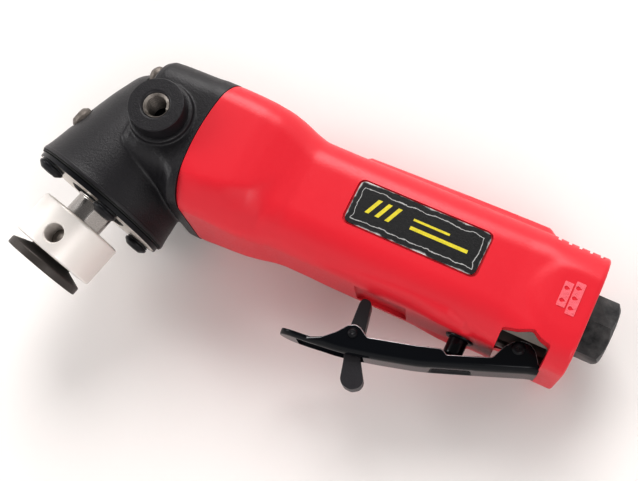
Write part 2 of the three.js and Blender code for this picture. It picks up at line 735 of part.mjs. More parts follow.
function inletSeal() {
  return ring('x', 7.5, 9.3, housingEnd + gap, gripEnd - gap);
}

// ---------------------------------------------------------------- lever and latch

/** The outer face of the lever's web, from the tip to the pivot end. */
const webLine = [[70.6, -43.4], [78, -42.8], [91, -41.2], [102, -38.6], [115.5, -34.8], [134, -27.6], [149, -21.6]];
const earLine = [[149, -21.6], [146.6, -16.2], [144.2, -14.3], [141.2, -14], [138.6, -15.4], [136.4, -19.2],
  [135.2, -22.4], [133.2, -23.4], [122.6, -27.6], [119.6, -26.9], [112.5, -29.2], [97.6, -33.4],
  [94.6, -31.6], [91.2, -31.8], [87.8, -36], [82, -40.6]];

/** A line moved sideways by a distance, along the average normal at each point. */
function offsetLine(line, distance) {
  return line.map(([x, y], i) => {
    const [px, py] = line[Math.max(i - 1, 0)];
    const [nx, ny] = line[Math.min(i + 1, line.length - 1)];
    const length = Math.hypot(nx - px, ny - py);
    return [x - distance * (ny - py) / length, y + distance * (nx - px) / length];
  });
}

function throttleLever() {
  const webInside = offsetLine(webLine, leverSheet);
  const web = plate([...webLine, ...[...webInside].reverse()], -leverHalfWidth, leverHalfWidth);
  const sidePlate = [...webLine.slice(1), ...earLine];
  const sides = [leverHalfWidth - leverSheet, -leverHalfWidth].map((z) => plate(sidePlate, z, z + leverSheet));
  const latchSlot = box(76.6, 98.4, -48, -35.4, -4.4, 4.4);
  const pinBore = rod('z', leverPinRadius + 2 * gap, -12, 12, 16).translate(leverPivotX, leverPivotY, 0);
  const latchPinBore = rod('z', latchPinRadius + gap, -12, 12, 16).translate(latchPivotX, latchPivotY, 0);
  return cut(join(web, ...sides), latchSlot, pinBore, latchPinBore);
}

/** A headed pin along Z through the given point. */
function pin(x, y, radius, headRadius, halfLength) {
  return turned('z', [
    [0, -halfLength - 0.9], [headRadius - 0.5, -halfLength - 0.9], [headRadius, -halfLength],
    [radius, -halfLength], [radius, halfLength], [headRadius, halfLength],
    [headRadius - 0.5, halfLength + 0.9], [0, halfLength + 0.9],
  ], 16).translate(x, y, 0);
}

const latchHalfWidth = 3.2;

function latch() {
  const outline = new THREE.Shape();
  outline.moveTo(-2.9, 11);
  outline.quadraticCurveTo(-2.7, 12.7, -1, 12.7);
  outline.quadraticCurveTo(0.8, 12.7, 1, 11);
  outline.lineTo(2.7, 2.7);
  outline.quadraticCurveTo(3.1, -1.8, 5.1, -5.9);
  outline.lineTo(9.1, -12);
  outline.lineTo(8.6, -14.2);
  outline.lineTo(6.4, -16);
  outline.lineTo(3.6, -15.8);
  outline.lineTo(2, -14.3);
  outline.lineTo(0.3, -7.9);
  outline.quadraticCurveTo(-2.4, -3, -2.2, 1);
  const body = plate(outline, -latchHalfWidth, latchHalfWidth).translate(latchPivotX, latchPivotY, 0);
  return cut(body, rod('z', latchPinRadius + runningGap, -12, 12, 16).translate(latchPivotX, latchPivotY, 0));
}

/** Torsion spring around the latch pin, with one leg on the latch and one on the web. */
function latchSpring() {
  return coilSpring({ axis: 'z', coilRadius: 2.1, wireRadius: 0.35, start: 3.5, end: 5.5, turns: 2 })
    .translate(latchPivotX, latchPivotY, 0);
}

// ---------------------------------------------------------------- materials and assembly

function material(color, roughness, metalness) {
  return new THREE.MeshStandardMaterial({ color, roughness, metalness });
}

const castBlack = material(0x2a2a2c, 0.55, 0.35);
const zincPlate = material(0xd9dadb, 0.35, 0.9);
const blackOxide = material(0x1b1c1e, 0.4, 0.7);
const brightSteel = material(0xb8babc, 0.3, 0.95);
const hubAluminium = material(0xe6e4e0, 0.45, 0.6);
const flangeSteel = material(0x4a4542, 0.5, 0.7);
const redComposite = material(0xdc1a2a, 0.5, 0);
const motorSteel = material(0x8c8680, 0.4, 0.85);
const glossBlack = material(0x141518, 0.22, 0.3);
const latchSteel = material(0x45454a, 0.45, 0.6);
const vaneResin = material(0x6b5434, 0.7, 0);
const sealRubber = material(0x151515, 0.8, 0);
const labelBlack = material(0x18181a, 0.45, 0);

const root = new THREE.Group();
const tool = new THREE.Group();
tool.position.copy(spindleDirection).multiplyScalar(-wheelFace);
root.add(tool);
const spindleGroup = new THREE.Group();
spindleGroup.quaternion.setFromRotationMatrix(spindleFrame);
tool.add(spindleGroup);

function add(parent, name, geometry, look) {
  const mesh = new THREE.Mesh(clean(geometry), look);
  mesh.name = name;
  parent.add(mesh);
  return mesh;
}

add(tool, 'gear_housing', gearHousing(), castBlack);
add(spindleGroup, 'cover_gasket', coverGasket(), sealRubber);
add(spindleGroup, 'bearing_cover', bearingCover(), zincPlate);
coverScrewAngles.forEach((angle, i) => {
  const washer = add(spindleGroup, `cover_washer_${i + 1}`, coverWasher(), blackOxide);
  const screw = add(spindleGroup, `cover_screw_${i + 1}`, socketScrew(coverScrew), blackOxide);
  for (const piece of [washer, screw]) {
    piece.position.set(coverScrewCircle * Math.cos(angle), coverScrewCircle * Math.sin(angle), 0);
  }
  screw.position.z = coverTop + 2 * gap + washerHeight;
});
screwHeadSeats.forEach(({ x, y, z, screw }, i) => {
  const piece = add(tool, `head_screw_${i + 1}`, socketScrew(screw).rotateY(-Math.PI / 2), brightSteel);
  piece.position.set(x - gap, y, z);
});
add(spindleGroup, 'grease_screw', atGreaseScrew(socketScrew(greaseScrew).translate(0, 0, gap)), brightSteel);

add(spindleGroup, 'spindle', spindle(), brightSteel);
add(spindleGroup, 'bevel_gear', bevelGear(), brightSteel);
add(spindleGroup, 'upper_spindle_bearing',
  bearing('z', 4.2, upperBearingRadius, upperBearingStart, upperBearingEnd), brightSteel);
add(spindleGroup, 'lower_spindle_bearing',
  bearing('z', spindleJournal + 0.2, bearingRadius, bearingStart, bearingEnd), brightSteel);
add(spindleGroup, 'spindle_seal', spindleSeal(), sealRubber);
add(spindleGroup, 'drum_hub', drumHub(), hubAluminium);
add(spindleGroup, 'clamp_flange', clampFlange(), flangeSteel);

add(tool, 'motor_housing', motorHousing(), motorSteel);
add(tool, 'pinion', along('x', pinion().rotateX(-Math.PI / 2)), brightSteel);
add(tool, 'front_rotor_bearing', bearing('x', 4.1, rotorBearingRadius, frontBearingStart, frontBearingEnd), brightSteel);
add(tool, 'front_end_plate', endPlate(3.9, frontPlateStart, linerStart - gap, 5, frontPlateStart - 1, frontPlateStart),
  motorSteel);
add(tool, 'cylinder_liner', cylinderLiner(), motorSteel);
add(tool, 'rotor', rotor(), brightSteel);
for (let i = 0; i < vaneCount; i++) add(tool, `rotor_vane_${i + 1}`, vane(i), vaneResin);
add(tool, 'rear_end_plate', endPlate(2.9, linerEnd + gap, rearPlateEnd, 8.1, 79.4, rearPlateEnd + 1), motorSteel);
add(tool, 'rear_rotor_bearing', bearing('x', 3.1, 8, 79.5, 84.5), brightSteel);

add(tool, 'grip_cover', gripCover(), redComposite);
add(tool, 'nameplate', nameplate(), labelBlack);

add(tool, 'valve_bushing', valveBushing(), blackOxide);
add(tool, 'valve_stem', valveStem(), blackOxide);
add(tool, 'valve_spring', valveSpring(), brightSteel);
add(tool, 'inlet_bushing', inletBushing(), blackOxide);
add(tool, 'inlet_screen', inletScreen(), brightSteel);
add(tool, 'inlet_seal', inletSeal(), sealRubber);

add(tool, 'throttle_lever', throttleLever(), glossBlack);
add(tool, 'lever_pin', pin(leverPivotX, leverPivotY, leverPinRadius, 2.3, leverHalfWidth + gap), blackOxide);
add(tool, 'latch', latch(), latchSteel);
add(tool, 'latch_pin', pin(latchPivotX, latchPivotY, latchPinRadius, 1.7, leverHalfWidth + gap), blackOxide);
add(tool, 'latch_spring', latchSpring(), brightSteel);

export default root;
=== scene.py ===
"""A pneumatic angle die grinder on a pale table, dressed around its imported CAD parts.

Shapes are drawn in millimetres around the tool point, where the handle axis crosses the spindle axis, and
are moved onto the CAD frame in metres by place(). +X runs along the handle to the air inlet, +Y is the side
away from the lever, and +Z faces up from the table.
"""

import json
import math

import bmesh
import bpy
import numpy as np
from mathutils import Matrix, Vector


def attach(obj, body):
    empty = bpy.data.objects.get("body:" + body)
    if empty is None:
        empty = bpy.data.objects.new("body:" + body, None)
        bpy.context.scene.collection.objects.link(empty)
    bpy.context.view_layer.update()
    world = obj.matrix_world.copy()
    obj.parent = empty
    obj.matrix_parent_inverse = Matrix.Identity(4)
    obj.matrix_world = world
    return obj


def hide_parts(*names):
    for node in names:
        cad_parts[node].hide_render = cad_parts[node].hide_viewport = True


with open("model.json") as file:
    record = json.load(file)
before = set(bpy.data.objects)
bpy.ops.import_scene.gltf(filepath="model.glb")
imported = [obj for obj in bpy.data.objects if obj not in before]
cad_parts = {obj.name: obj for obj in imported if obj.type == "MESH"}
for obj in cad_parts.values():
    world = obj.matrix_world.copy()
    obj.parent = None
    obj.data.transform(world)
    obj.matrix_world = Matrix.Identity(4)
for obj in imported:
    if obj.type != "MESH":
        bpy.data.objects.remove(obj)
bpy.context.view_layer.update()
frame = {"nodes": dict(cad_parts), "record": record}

MM = 0.001

# ---------------------------------------------------------------- driving dimensions, mm

WHEEL_FACE = 59.2          # clamp flange's outer face, along the spindle from the tool point
COVER_JOINT = 28.0         # rim of the head, along the spindle
COVER_BASE = COVER_JOINT + 0.7
COVER_TOP = COVER_BASE + 1.7
COVER_RADIUS = 25
HUB = (38.4, 53.7, 15.3)   # start, end, radius
HEAD_JOINT = 22.0          # head meets grip, along the handle
GRIP_END = 155.7
BOSS = (8.5, 1.5, 9.2, 32.8)   # x, y, radius, height
SIDE_THREAD = (4.05, 3.35)   # root and crest radius of the M8 side-handle thread
GREASE_SCREW = (11.8, math.radians(33), 22.4)   # along the spindle, round it from the front, out from it
SCREW_CIRCLE = 21.9
SCREW_ANGLES = [math.radians(a) for a in (56, 124, 236, 304)]
LEVER_PIVOT = (140.8, -17.0)
LATCH_PIVOT = (92.7, -34.2)
VALVE_X = 123.0
LEVER_HALF = 7.4
NAMEPLATE = (76.3, 120.4, -5.2, 9.3, 19.5)   # x0, x1, y0, y1, floor
CONTRAST = 0.78            # the display curve: below 1 deepens the dark tones
WALL_LIGHT, CEILING_LIGHT = 1.15, 0.3       # the studio's walls are bright and its ceiling dim
WALL_TOP, CEILING_EDGE = 0.45, 0.85         # as the upward part of a direction
FLOOR_SLOPE = 0.078        # the head's lower boss stands higher than the rear collar


# ---------------------------------------------------------------- the tool's axes, from the record

def joint(name):
    return next(j for j in frame["record"]["behaviour"]["joints"] if j["name"] == name)


SPINDLE = Vector(joint("spindle_spin")["axis"]).normalized()
HANDLE_Y = joint("rotor_spin")["pos_m"][1]
TOOL_POINT = SPINDLE * (HANDLE_Y / SPINDLE.y)
FORWARD = Vector((SPINDLE.y, -SPINDLE.x, 0))

AXES = {
    "spindle": Matrix((FORWARD, SPINDLE.cross(FORWARD), SPINDLE)).transposed(),
    "handle": Matrix(((0, 1, 0), (0, 0, 1), (1, 0, 0))).transposed(),
    "valve": Matrix(((0, 0, 1), (1, 0, 0), (0, 1, 0))).transposed(),
    "cross": Matrix.Identity(3),
}


# ---------------------------------------------------------------- mesh helpers, all in mm

def new_object(name, vertices, faces, smooth=True):
    mesh = bpy.data.meshes.new(name)
    mesh.from_pydata([tuple(v) for v in vertices], [], faces)
    mesh.validate()
    mesh.update()
    bm = bmesh.new()
    bm.from_mesh(mesh)
    bmesh.ops.remove_doubles(bm, verts=bm.verts, dist=1e-4)
    bmesh.ops.recalc_face_normals(bm, faces=bm.faces)
    bm.to_mesh(mesh)
    bm.free()
    obj = bpy.data.objects.new(name, mesh)
    bpy.context.scene.collection.objects.link(obj)
    if smooth:
        mesh.shade_smooth()
    return obj


def turn(obj, axes="cross", at=(0, 0, 0), spin=0.0):
    """Turns a shape drawn around Z onto one of the tool's axes, then moves it."""
    matrix = AXES[axes].to_4x4() @ Matrix.Rotation(spin, 4, "Z")
    obj.data.transform(Matrix.Translation(at) @ matrix)
    return obj


def rounded(points, radius, closed=False, steps=4):
    """Replaces each corner of a line of points with a small round."""
    points = [np.array(p, float) for p in points]
    count = len(points)
    result = []
    for i, corner in enumerate(points):
        if not closed and i in (0, count - 1):
            result.append(corner)
            continue
        before = points[i - 1] - corner
        after = points[(i + 1) % count] - corner
        reach = min(radius, 0.45 * np.linalg.norm(before), 0.45 * np.linalg.norm(after))
        start = corner + before / np.linalg.norm(before) * reach
        end = corner + after / np.linalg.norm(after) * reach
        for k in range(steps + 1):
            t = k / steps
            result.append((1 - t) ** 2 * start + 2 * t * (1 - t) * corner + t * t * end)
    return result


def lathe(name, profile, segments=128, closed=False):
    """A turned solid around Z. The profile is [radius, height]; it is closed, or on the axis at both ends."""
    vertices = []
    for radius, height in profile:
        for k in range(segments):
            angle = 2 * math.pi * k / segments
            vertices.append((radius * math.cos(angle), radius * math.sin(angle), height))
    rows = len(profile)
    faces = []
    for row in range(rows if closed else rows - 1):
        lower, upper = row * segments, (row + 1) % rows * segments
        for k in range(segments):
            following = (k + 1) % segments
            faces.append((lower + k, lower + following, upper + following, upper + k))
    return new_object(name, vertices, faces)


def rod(name, radius, start, end, segments=48):
    return lathe(name, [(0, start), (radius, start), (radius, end), (0, end)], segments)


def prism(name, outline, z0, z1):
    """An outline in XY, extruded along Z."""
    count = len(outline)
    vertices = [(x, y, z0) for x, y in outline] + [(x, y, z1) for x, y in outline]
    faces = [tuple(range(count)), tuple(range(count, 2 * count))]
    faces += [(k, (k + 1) % count, (k + 1) % count + count, k + count) for k in range(count)]
    return new_object(name, vertices, faces, smooth=False)


def box(name, x0, x1, y0, y1, z0, z1):
    return prism(name, [(x0, y0), (x1, y0), (x1, y1), (x0, y1)], z0, z1)


def loft(name, rings):
    """A closed skin over rings of points."""
    count = len(rings[0])
    vertices = [tuple(p) for ring in rings for p in ring]
    faces = [tuple(range(count)), tuple(range(len(vertices) - count, len(vertices)))]
    for s in range(len(rings) - 1):
        for k in range(count):
            a, b = s * count + k, s * count + (k + 1) % count
            faces.append((a, b, b + count, a + count))
    return new_object(name, vertices, faces)


def join(target, *others):
    """Adds the other objects' meshes to the target and removes the others."""
    bm = bmesh.new()
    bm.from_mesh(target.data)
    for other in others:
        bm.from_mesh(other.data)
        bpy.data.objects.remove(other)
    bm.to_mesh(target.data)
    bm.free()
    return target


def apply_modifiers(obj):
    graph = bpy.context.evaluated_depsgraph_get()
    mesh = bpy.data.meshes.new_from_object(obj.evaluated_get(graph))
    obj.modifiers.clear()
    obj.data = mesh
    return obj


def boolean(obj, operation, *tools):
    for tool in tools:
        modifier = obj.modifiers.new("boolean", "BOOLEAN")
        modifier.operation = operation
        modifier.solver = "EXACT"
        modifier.object = tool
    apply_modifiers(obj)
    for tool in tools:
        bpy.data.objects.remove(tool)
    return obj


def cut(obj, *tools):
    return boolean(obj, "DIFFERENCE", *tools)


def skin(obj, voxel, relax=0, factor=0.5):
    """Rebuilds the surface as one even skin, then relaxes it so that corners and joins become rounds."""
    modifier = obj.modifiers.new("skin", "REMESH")
    modifier.mode = "VOXEL"
    modifier.voxel_size = voxel
    modifier.use_smooth_shade = True
    if relax:
        smooth = obj.modifiers.new("relax", "SMOOTH")
        smooth.factor = factor
        smooth.iterations = relax
    return apply_modifiers(obj)


def soften(obj, width, segments=2, angle=35):
    """Rounds every sharp edge, and smooth-shades the rest."""
    modifier = obj.modifiers.new("soften", "BEVEL")
    modifier.width = width
    modifier.segments = segments
    modifier.limit_method = "ANGLE"
    modifier.angle_limit = math.radians(angle)
    modifier.harden_normals = False
    return crisp(apply_modifiers(obj))


def crisp(obj, angle=32):
    """Smooth shading, except across edges sharper than the angle."""
    obj.data.shade_smooth()
    obj.data.set_sharp_from_angle(angle=math.radians(angle))
    modifier = obj.modifiers.new("even", "WEIGHTED_NORMAL")
    modifier.keep_sharp = True
    return apply_modifiers(obj)


def smoothstep(value, start, end):
    t = np.clip((np.asarray(value, float) - start) / (end - start), 0, 1)
    return t * t * (3 - 2 * t)


def place(obj, body, material, slot, *nodes):
    """Moves a finished shape onto the CAD frame, in metres, and ties it to its body, nodes and finish."""
    obj.data.transform(Matrix.Translation(TOOL_POINT) @ Matrix.Scale(MM, 4))
    obj.data.materials.clear()
    obj.data.materials.append(material)
    for polygon in obj.data.polygons:
        polygon.material_index = 0
    if nodes:
        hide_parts(*nodes)
    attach(obj, body)
    return obj


# ---------------------------------------------------------------- materials

def surface(name, colour, roughness, metallic=0.0, *, grain=(900, 0.00012, 0.3), mottle=(60, 0.06),
            wear=None, coat=0.0, stretch=(1, 1, 1), specular=0.5):
    """
    A procedural finish. grain is a bump (scale, height in metres, strength), mottle a slow change of tone
    (scale, amount), wear the colour and reach of worn edges, and stretch draws the grain into brush lines.
    """
    material = bpy.data.materials.new(name)
    material.use_nodes = True
    nodes, links = material.node_tree.nodes, material.node_tree.links
    shader = nodes["Principled BSDF"]
    place_node = nodes.new("ShaderNodeTexCoord")
    mapping = nodes.new("ShaderNodeMapping")
    mapping.inputs["Scale"].default_value = stretch
    links.new(place_node.outputs["Object"], mapping.inputs["Vector"])

    fine = nodes.new("ShaderNodeTexNoise")
    fine.inputs["Scale"].default_value = grain[0]
    fine.inputs["Detail"].default_value = 6
    fine.inputs["Roughness"].default_value = 0.65
    links.new(mapping.outputs["Vector"], fine.inputs["Vector"])
    bump = nodes.new("ShaderNodeBump")
    bump.inputs["Distance"].default_value = grain[1]
    bump.inputs["Strength"].default_value = grain[2]
    links.new(fine.outputs["Fac"], bump.inputs["Height"])
    links.new(bump.outputs["Normal"], shader.inputs["Normal"])

    slow = nodes.new("ShaderNodeTexNoise")
    slow.inputs["Scale"].default_value = mottle[0]
    slow.inputs["Detail"].default_value = 5
    slow.inputs["Roughness"].default_value = 0.6
    links.new(place_node.outputs["Object"], slow.inputs["Vector"])
    tone = nodes.new("ShaderNodeMix")
    tone.data_type = "RGBA"
    tone.inputs[6].default_value = (*[c * (1 - mottle[1]) for c in colour], 1)
    tone.inputs[7].default_value = (*[min(1, c * (1 + mottle[1])) for c in colour], 1)
    links.new(slow.outputs["Fac"], tone.inputs["Factor"])
    look = tone.outputs[2]

    rough = nodes.new("ShaderNodeMapRange")
    rough.inputs["From Min"].default_value = 0.3
    rough.inputs["From Max"].default_value = 0.7
    rough.inputs["To Min"].default_value = roughness * 0.85
    rough.inputs["To Max"].default_value = min(1, roughness * 1.15)
    links.new(fine.outputs["Fac"], rough.inputs["Value"])
    links.new(rough.outputs["Result"], shader.inputs["Roughness"])

    if wear:
        worn_colour, start, end = wear
        geometry = nodes.new("ShaderNodeNewGeometry")
        edge = nodes.new("ShaderNodeMapRange")
        edge.inputs["From Min"].default_value = start
        edge.inputs["From Max"].default_value = end
        links.new(geometry.outputs["Pointiness"], edge.inputs["Value"])
        broken = nodes.new("ShaderNodeMath")
        broken.operation = "MULTIPLY"
        links.new(edge.outputs["Result"], broken.inputs[0])
        patches = nodes.new("ShaderNodeMapRange")
        patches.inputs["From Min"].default_value = 0.35
        patches.inputs["From Max"].default_value = 0.6
        links.new(slow.outputs["Fac"], patches.inputs["Value"])
        links.new(patches.outputs["Result"], broken.inputs[1])
        worn = nodes.new("ShaderNodeMix")
        worn.data_type = "RGBA"
        worn.inputs[7].default_value = (*worn_colour, 1)
        links.new(broken.outputs["Value"], worn.inputs["Factor"])
        links.new(look, worn.inputs[6])
        look = worn.outputs[2]
    links.new(look, shader.inputs["Base Color"])
    shader.inputs["Metallic"].default_value = metallic
    shader.inputs["Specular IOR Level"].default_value = specular
    shader.inputs["Coat Weight"].default_value = coat
    shader.inputs["Coat Roughness"].default_value = 0.12
    return material


FINISH = {
    "cast_black": surface("cast_black", (0.013, 0.0118, 0.0145), 0.38, 0.0, grain=(1500, 0.00022, 0.6),
                          mottle=(90, 0.25), wear=((0.1, 0.096, 0.094), 0.62, 0.72), specular=0.5),
    "zinc_plate": surface("zinc_plate", (0.62, 0.58, 0.53), 0.34, 0.95, grain=(1500, 0.00005, 0.25),
                          mottle=(70, 0.1)),
    "black_oxide": surface("black_oxide", (0.009, 0.009, 0.0115), 0.32, 0.0, grain=(1400, 0.00008, 0.3),
                           mottle=(120, 0.3), wear=((0.1, 0.1, 0.1), 0.6, 0.7), specular=0.28),
    "bright_steel": surface("bright_steel", (0.42, 0.4, 0.385), 0.24, 1.0, grain=(1200, 0.00002, 0.12),
                            mottle=(90, 0.15)),
    "hub_aluminium": surface("hub_aluminium", (0.78, 0.745, 0.715), 0.36, 0.25, grain=(2000, 0.00005, 0.25),
                             mottle=(40, 0.05)),
    "flange_steel": surface("flange_steel", (0.075, 0.066, 0.061), 0.45, 0.5, grain=(1400, 0.00012, 0.4),
                            mottle=(130, 0.3), wear=((0.2, 0.18, 0.17), 0.56, 0.66)),
    "red_composite": surface("red_composite", (0.66, 0.024, 0.043), 0.36, 0.0, grain=(1100, 0.00008, 0.22),
                             mottle=(32, 0.05), wear=((0.8, 0.09, 0.11), 0.57, 0.7)),
    "motor_steel": surface("motor_steel", (0.2, 0.18, 0.165), 0.36, 0.85, grain=(700, 0.00006, 0.4),
                           mottle=(90, 0.3), stretch=(6, 1, 1)),
    "gloss_black": surface("gloss_black", (0.004, 0.005, 0.0075), 0.13, 0.0, grain=(240, 0.00008, 0.12),
                           mottle=(80, 0.2), coat=0.1, specular=0.22),
    "latch_steel": surface("latch_steel", (0.022, 0.02, 0.024), 0.38, 0.0, grain=(1300, 0.00014, 0.5),
                           mottle=(140, 0.25), wear=((0.3, 0.28, 0.27), 0.57, 0.66), specular=0.7),
    "aged_steel": surface("aged_steel", (0.17, 0.15, 0.135), 0.4, 0.55, grain=(1500, 0.0002, 0.6),
                          mottle=(300, 0.5), wear=((0.4, 0.37, 0.34), 0.55, 0.64)),
    # painted highlight: a bright metal finish for the lip on the lever's flange tops, standing in for light
    # caught on those edges
    "painted_highlight_lip": surface("painted_highlight_lip", (0.5, 0.5, 0.51), 0.3, 0.9, mottle=(400, 0.5)),
    "vane_resin": surface("vane_resin", (0.22, 0.13, 0.06), 0.7, 0.0),
    "seal_rubber": surface("seal_rubber", (0.008, 0.008, 0.008), 0.6, 0.0, grain=(900, 0.0001, 0.3)),
    "label_black": surface("label_black", (0.012, 0.012, 0.013), 0.42, 0.0, grain=(1800, 0.00012, 0.5),
                           mottle=(500, 0.8)),
}


def dress_cad_nodes():
    """Gives every CAD node the finish of its record slot."""
    slots = {row["node"]: row["material_slot"] for row in frame["record"]["subparts"]}
    for name, obj in frame["nodes"].items():
        for index in range(len(obj.material_slots)):
            obj.material_slots[index].material = FINISH[slots[name]]


# ---------------------------------------------------------------- head

#      x, top, bottom, half width, upper corner, lower corner, crown
NECK = [
    (-1.5, 20.3, -17, 22.4, 7.5, 7, 5),
    (-0.4, 22, -18, 24, 9, 8, 5.5),
    (1.6, 23, -19, 25, 9.8, 9, 5.5),
    (6, 23.2, -20, 25.3, 10, 9, 5.5),
    (12, 23.3, -20.1, 25.4, 10, 9, 5.5),
    (15, 23.3, -20.6, 25.4, 10, 9, 5.5),
    (17.5, 23.3, -21.6, 25.4, 9.8, 9, 5),
    (19.6, 23.4, -22.2, 25.5, 9.7, 9.2, 2.5),
    (21, 23.5, -22.6, 25.6, 9.7, 9.6, 0.4),
    (27, 23.5, -22.6, 25.6, 9.7, 9.6, 0),
]
JOINT_LEAN = 0.0062


def rounded_section(x, top, bottom, half, corner_top, corner_bottom, crown=0.0, steps=14, flats=8):
    """A rounded rectangle across the handle, as points [x, y, z], its underside bowed up at the sides."""
    quarters = [
        (top, half, corner_top, 0), (bottom, half, corner_bottom, 1),
        (bottom, -half, corner_bottom, 2), (top, -half, corner_top, 3),
    ]
    corners = []
    for y, z, radius, quarter in quarters:
        centre_y = y - math.copysign(radius, y)
        centre_z = z - math.copysign(radius, z)
        for k in range(steps + 1):
            angle = (quarter + k / steps) * math.pi / 2
            corners.append((centre_y + radius * math.cos(angle), centre_z + radius * math.sin(angle)))
    points = []
    for i, (y, z) in enumerate(corners):
        points.append((x, y, z))
        if i % (steps + 1) == steps:
            next_y, next_z = corners[(i + 1) % len(corners)]
            for k in range(1, flats):
                points.append((x, y + (next_y - y) * k / flats, z + (next_z - z) * k / flats))
    return [(x, y + crown * (z / half) ** 2 * max(0, y / bottom) ** 2, z) for x, y, z in points]


def head_body():
    """The casting before machining: a conical spindle case that grows into a square-shouldered neck."""
    case_profile = [
        (0, -17), (14.5, -17), (18.6, -12.5), (21.2, -2), (22.8, 7), (24.4, 18), (25.4, 24.8),
        (26, 27.4), (26, 34), (0, 34),
    ]
    case = turn(lathe("case", rounded(case_profile, 2.5), 144), "spindle")
    neck = loft("neck", [rounded_section(*station) for station in NECK])
    x, y, radius, _ = BOSS
    collar_profile = [(0, -27.3), (radius + 1.5, -27.3), (radius + 1.5, 27.3), (0, 27.3)]
    collar = turn(lathe("collar", rounded(collar_profile, 0.8), 96), "cross", (x, y, 0))
    return skin(join(case, neck, collar), 0.38, relax=5)


def joint_face(x_end):
    """Everything behind the face where head and grip meet. It leans back towards the top and the bottom."""
    curve = [(HEAD_JOINT + JOINT_LEAN * y * y, y) for y in range(-32, 33, 2)]
    return prism("joint_face", [*curve, (x_end, 32), (x_end, -32)], -40, 40)


def head_cutters():
    chamber = turn(lathe("chamber", [
        (0, -14.6), (8.1, -14.6), (8.1, -8.5), (13, -4), (18.8, 0), (18.8, 13.2), (17.6, 13.3), (17.6, 29),
        (0, 29),
    ], 96), "spindle")
    opening_profile = [(0, 4), (9.6, 4), (9.6, 18.3), (11.1, 18.3), (11.1, 40), (0, 40)]
    opening = turn(lathe("opening", opening_profile, 96), "handle")
    rim_plane = turn(rod("rim_plane", 40, COVER_JOINT, COVER_JOINT + 12), "spindle")
    return [chamber, opening, rim_plane, joint_face(60)]


def screw_seats():
    """Where the head's four long screws sit: x, y, z and head radius."""
    return [(-1.5, 15.5, 17.5), (-1.5, 15.5, -17.5), (18.2, -15.2, 15.6), (18.2, -15.2, -15.6)]


def gear_housing():
    body = head_body()
    cut(body, *head_cutters())
    pockets = []
    for x, y, z in screw_seats():
        if y > 0:
            pockets.append(turn(rod("pocket", 4.4, x - 5, x), "handle", (0, y, z)))
        pockets.append(turn(rod("hole", 2.1, x - 3, 30), "handle", (0, y, z)))
    pocket = rod("grease_pocket", 4.8, 0, 8)
    hole = rod("grease_hole", 2.5, -6, 1)
    pockets += [at_grease_screw(pocket), at_grease_screw(hole)]
    for angle in SCREW_ANGLES:
        offset = AXES["spindle"] @ Vector((SCREW_CIRCLE * math.cos(angle), SCREW_CIRCLE * math.sin(angle), 0))
        pockets.append(turn(rod("hole", 2.05, COVER_JOINT - 8, COVER_JOINT + 2, 24), "spindle", offset))
    x, y, _, height = BOSS
    for side in (1, -1):
        low, high = sorted((side * 21.9, side * (height + 2)))
        pockets.append(turn(rod("boss_hole", 4.3, low, high, 64), "cross", (x, y, 0)))
    cut(body, *pockets)
    rim_profile = [(23, 26.6), (25.9, 26.6), (26, 27.2), (26, COVER_JOINT), (23, COVER_JOINT)]
    rim = lathe("rim", rounded(rim_profile, 0.25, closed=True), 160, closed=True)
    join(body, turn(rim, "spindle"))
    crisp(body, 40)
    place(body, "tool_body", FINISH["cast_black"], "cast_black", "gear_housing")
    for side, label in ((1, "near"), (-1, "far")):
        side_handle_boss(side, label)


def side_handle_boss(side, label):
    """The machined boss and its threaded wall."""
    x, y, radius, height = BOSS
    corners = [(4.3, 26.9), (radius, 26.9), (radius, height), (4.9, height), (4.3, height - 0.6)]
    profile = rounded(corners, 0.35, closed=True)
    boss = turn(lathe(f"side_handle_boss_{label}", profile, 128, closed=True), "cross", (x, y, 0))
    boss.data.transform(Matrix.Scale(side, 4, (0, 0, 1)))
    if side < 0:
        boss.data.flip_normals()
    place(crisp(boss), "tool_body", FINISH["cast_black"], "cast_black")
    thread = threaded_wall(f"side_handle_thread_{label}", 4.28, *SIDE_THREAD, 20.0, height - 0.6, 1.25)
    turn(thread, "cross", (x, y, 0))
    thread.data.transform(Matrix.Scale(side, 4, (0, 0, 1)))
    if side < 0:
        thread.data.flip_normals()
    place(crisp(thread), "tool_body", FINISH["aged_steel"], "bright_steel")


def threaded_wall(name, outer, root, crest, start, end, pitch, segments=64):
    """A thin tube whose inner wall is a helical thread."""
    rows_per_pitch = 6
    middle = (root + crest) / 2
    wave = [root, (root + middle) / 2, middle, crest, crest, middle]
    rows = int((end - start) / pitch * rows_per_pitch)
    vertices, faces = [], []
    for row in range(rows + 1):
        for k in range(segments):
            angle = 2 * math.pi * k / segments
            height = min(max(start + row * pitch / rows_per_pitch - pitch * k / segments, start), end)
            radius = wave[row % rows_per_pitch]
            vertices.append((radius * math.cos(angle), radius * math.sin(angle), height))
    for height in (end, start):
        for k in range(segments):
            angle = 2 * math.pi * k / segments
            vertices.append((outer * math.cos(angle), outer * math.sin(angle), height))
    total = rows + 3
    for row in range(total):
        lower, upper = row * segments, (row + 1) % total * segments
        for k in range(segments):
            following = (k + 1) % segments
            faces.append((lower + k, lower + following, upper + following, upper + k))
    return new_object(name, vertices, faces)


def at_grease_screw(obj):
    """Turns a shape drawn along Z so that it points out of the case at the grease screw."""
    height, angle, reach = GREASE_SCREW
    local = (Matrix.Translation((0, 0, height)) @ Matrix.Rotation(-angle, 4, "Z")
             @ Matrix.Translation((reach, 0, 0)) @ Matrix.Rotation(math.pi / 2, 4, "Y"))
    obj.data.transform(AXES["spindle"].to_4x4() @ local)
    return obj


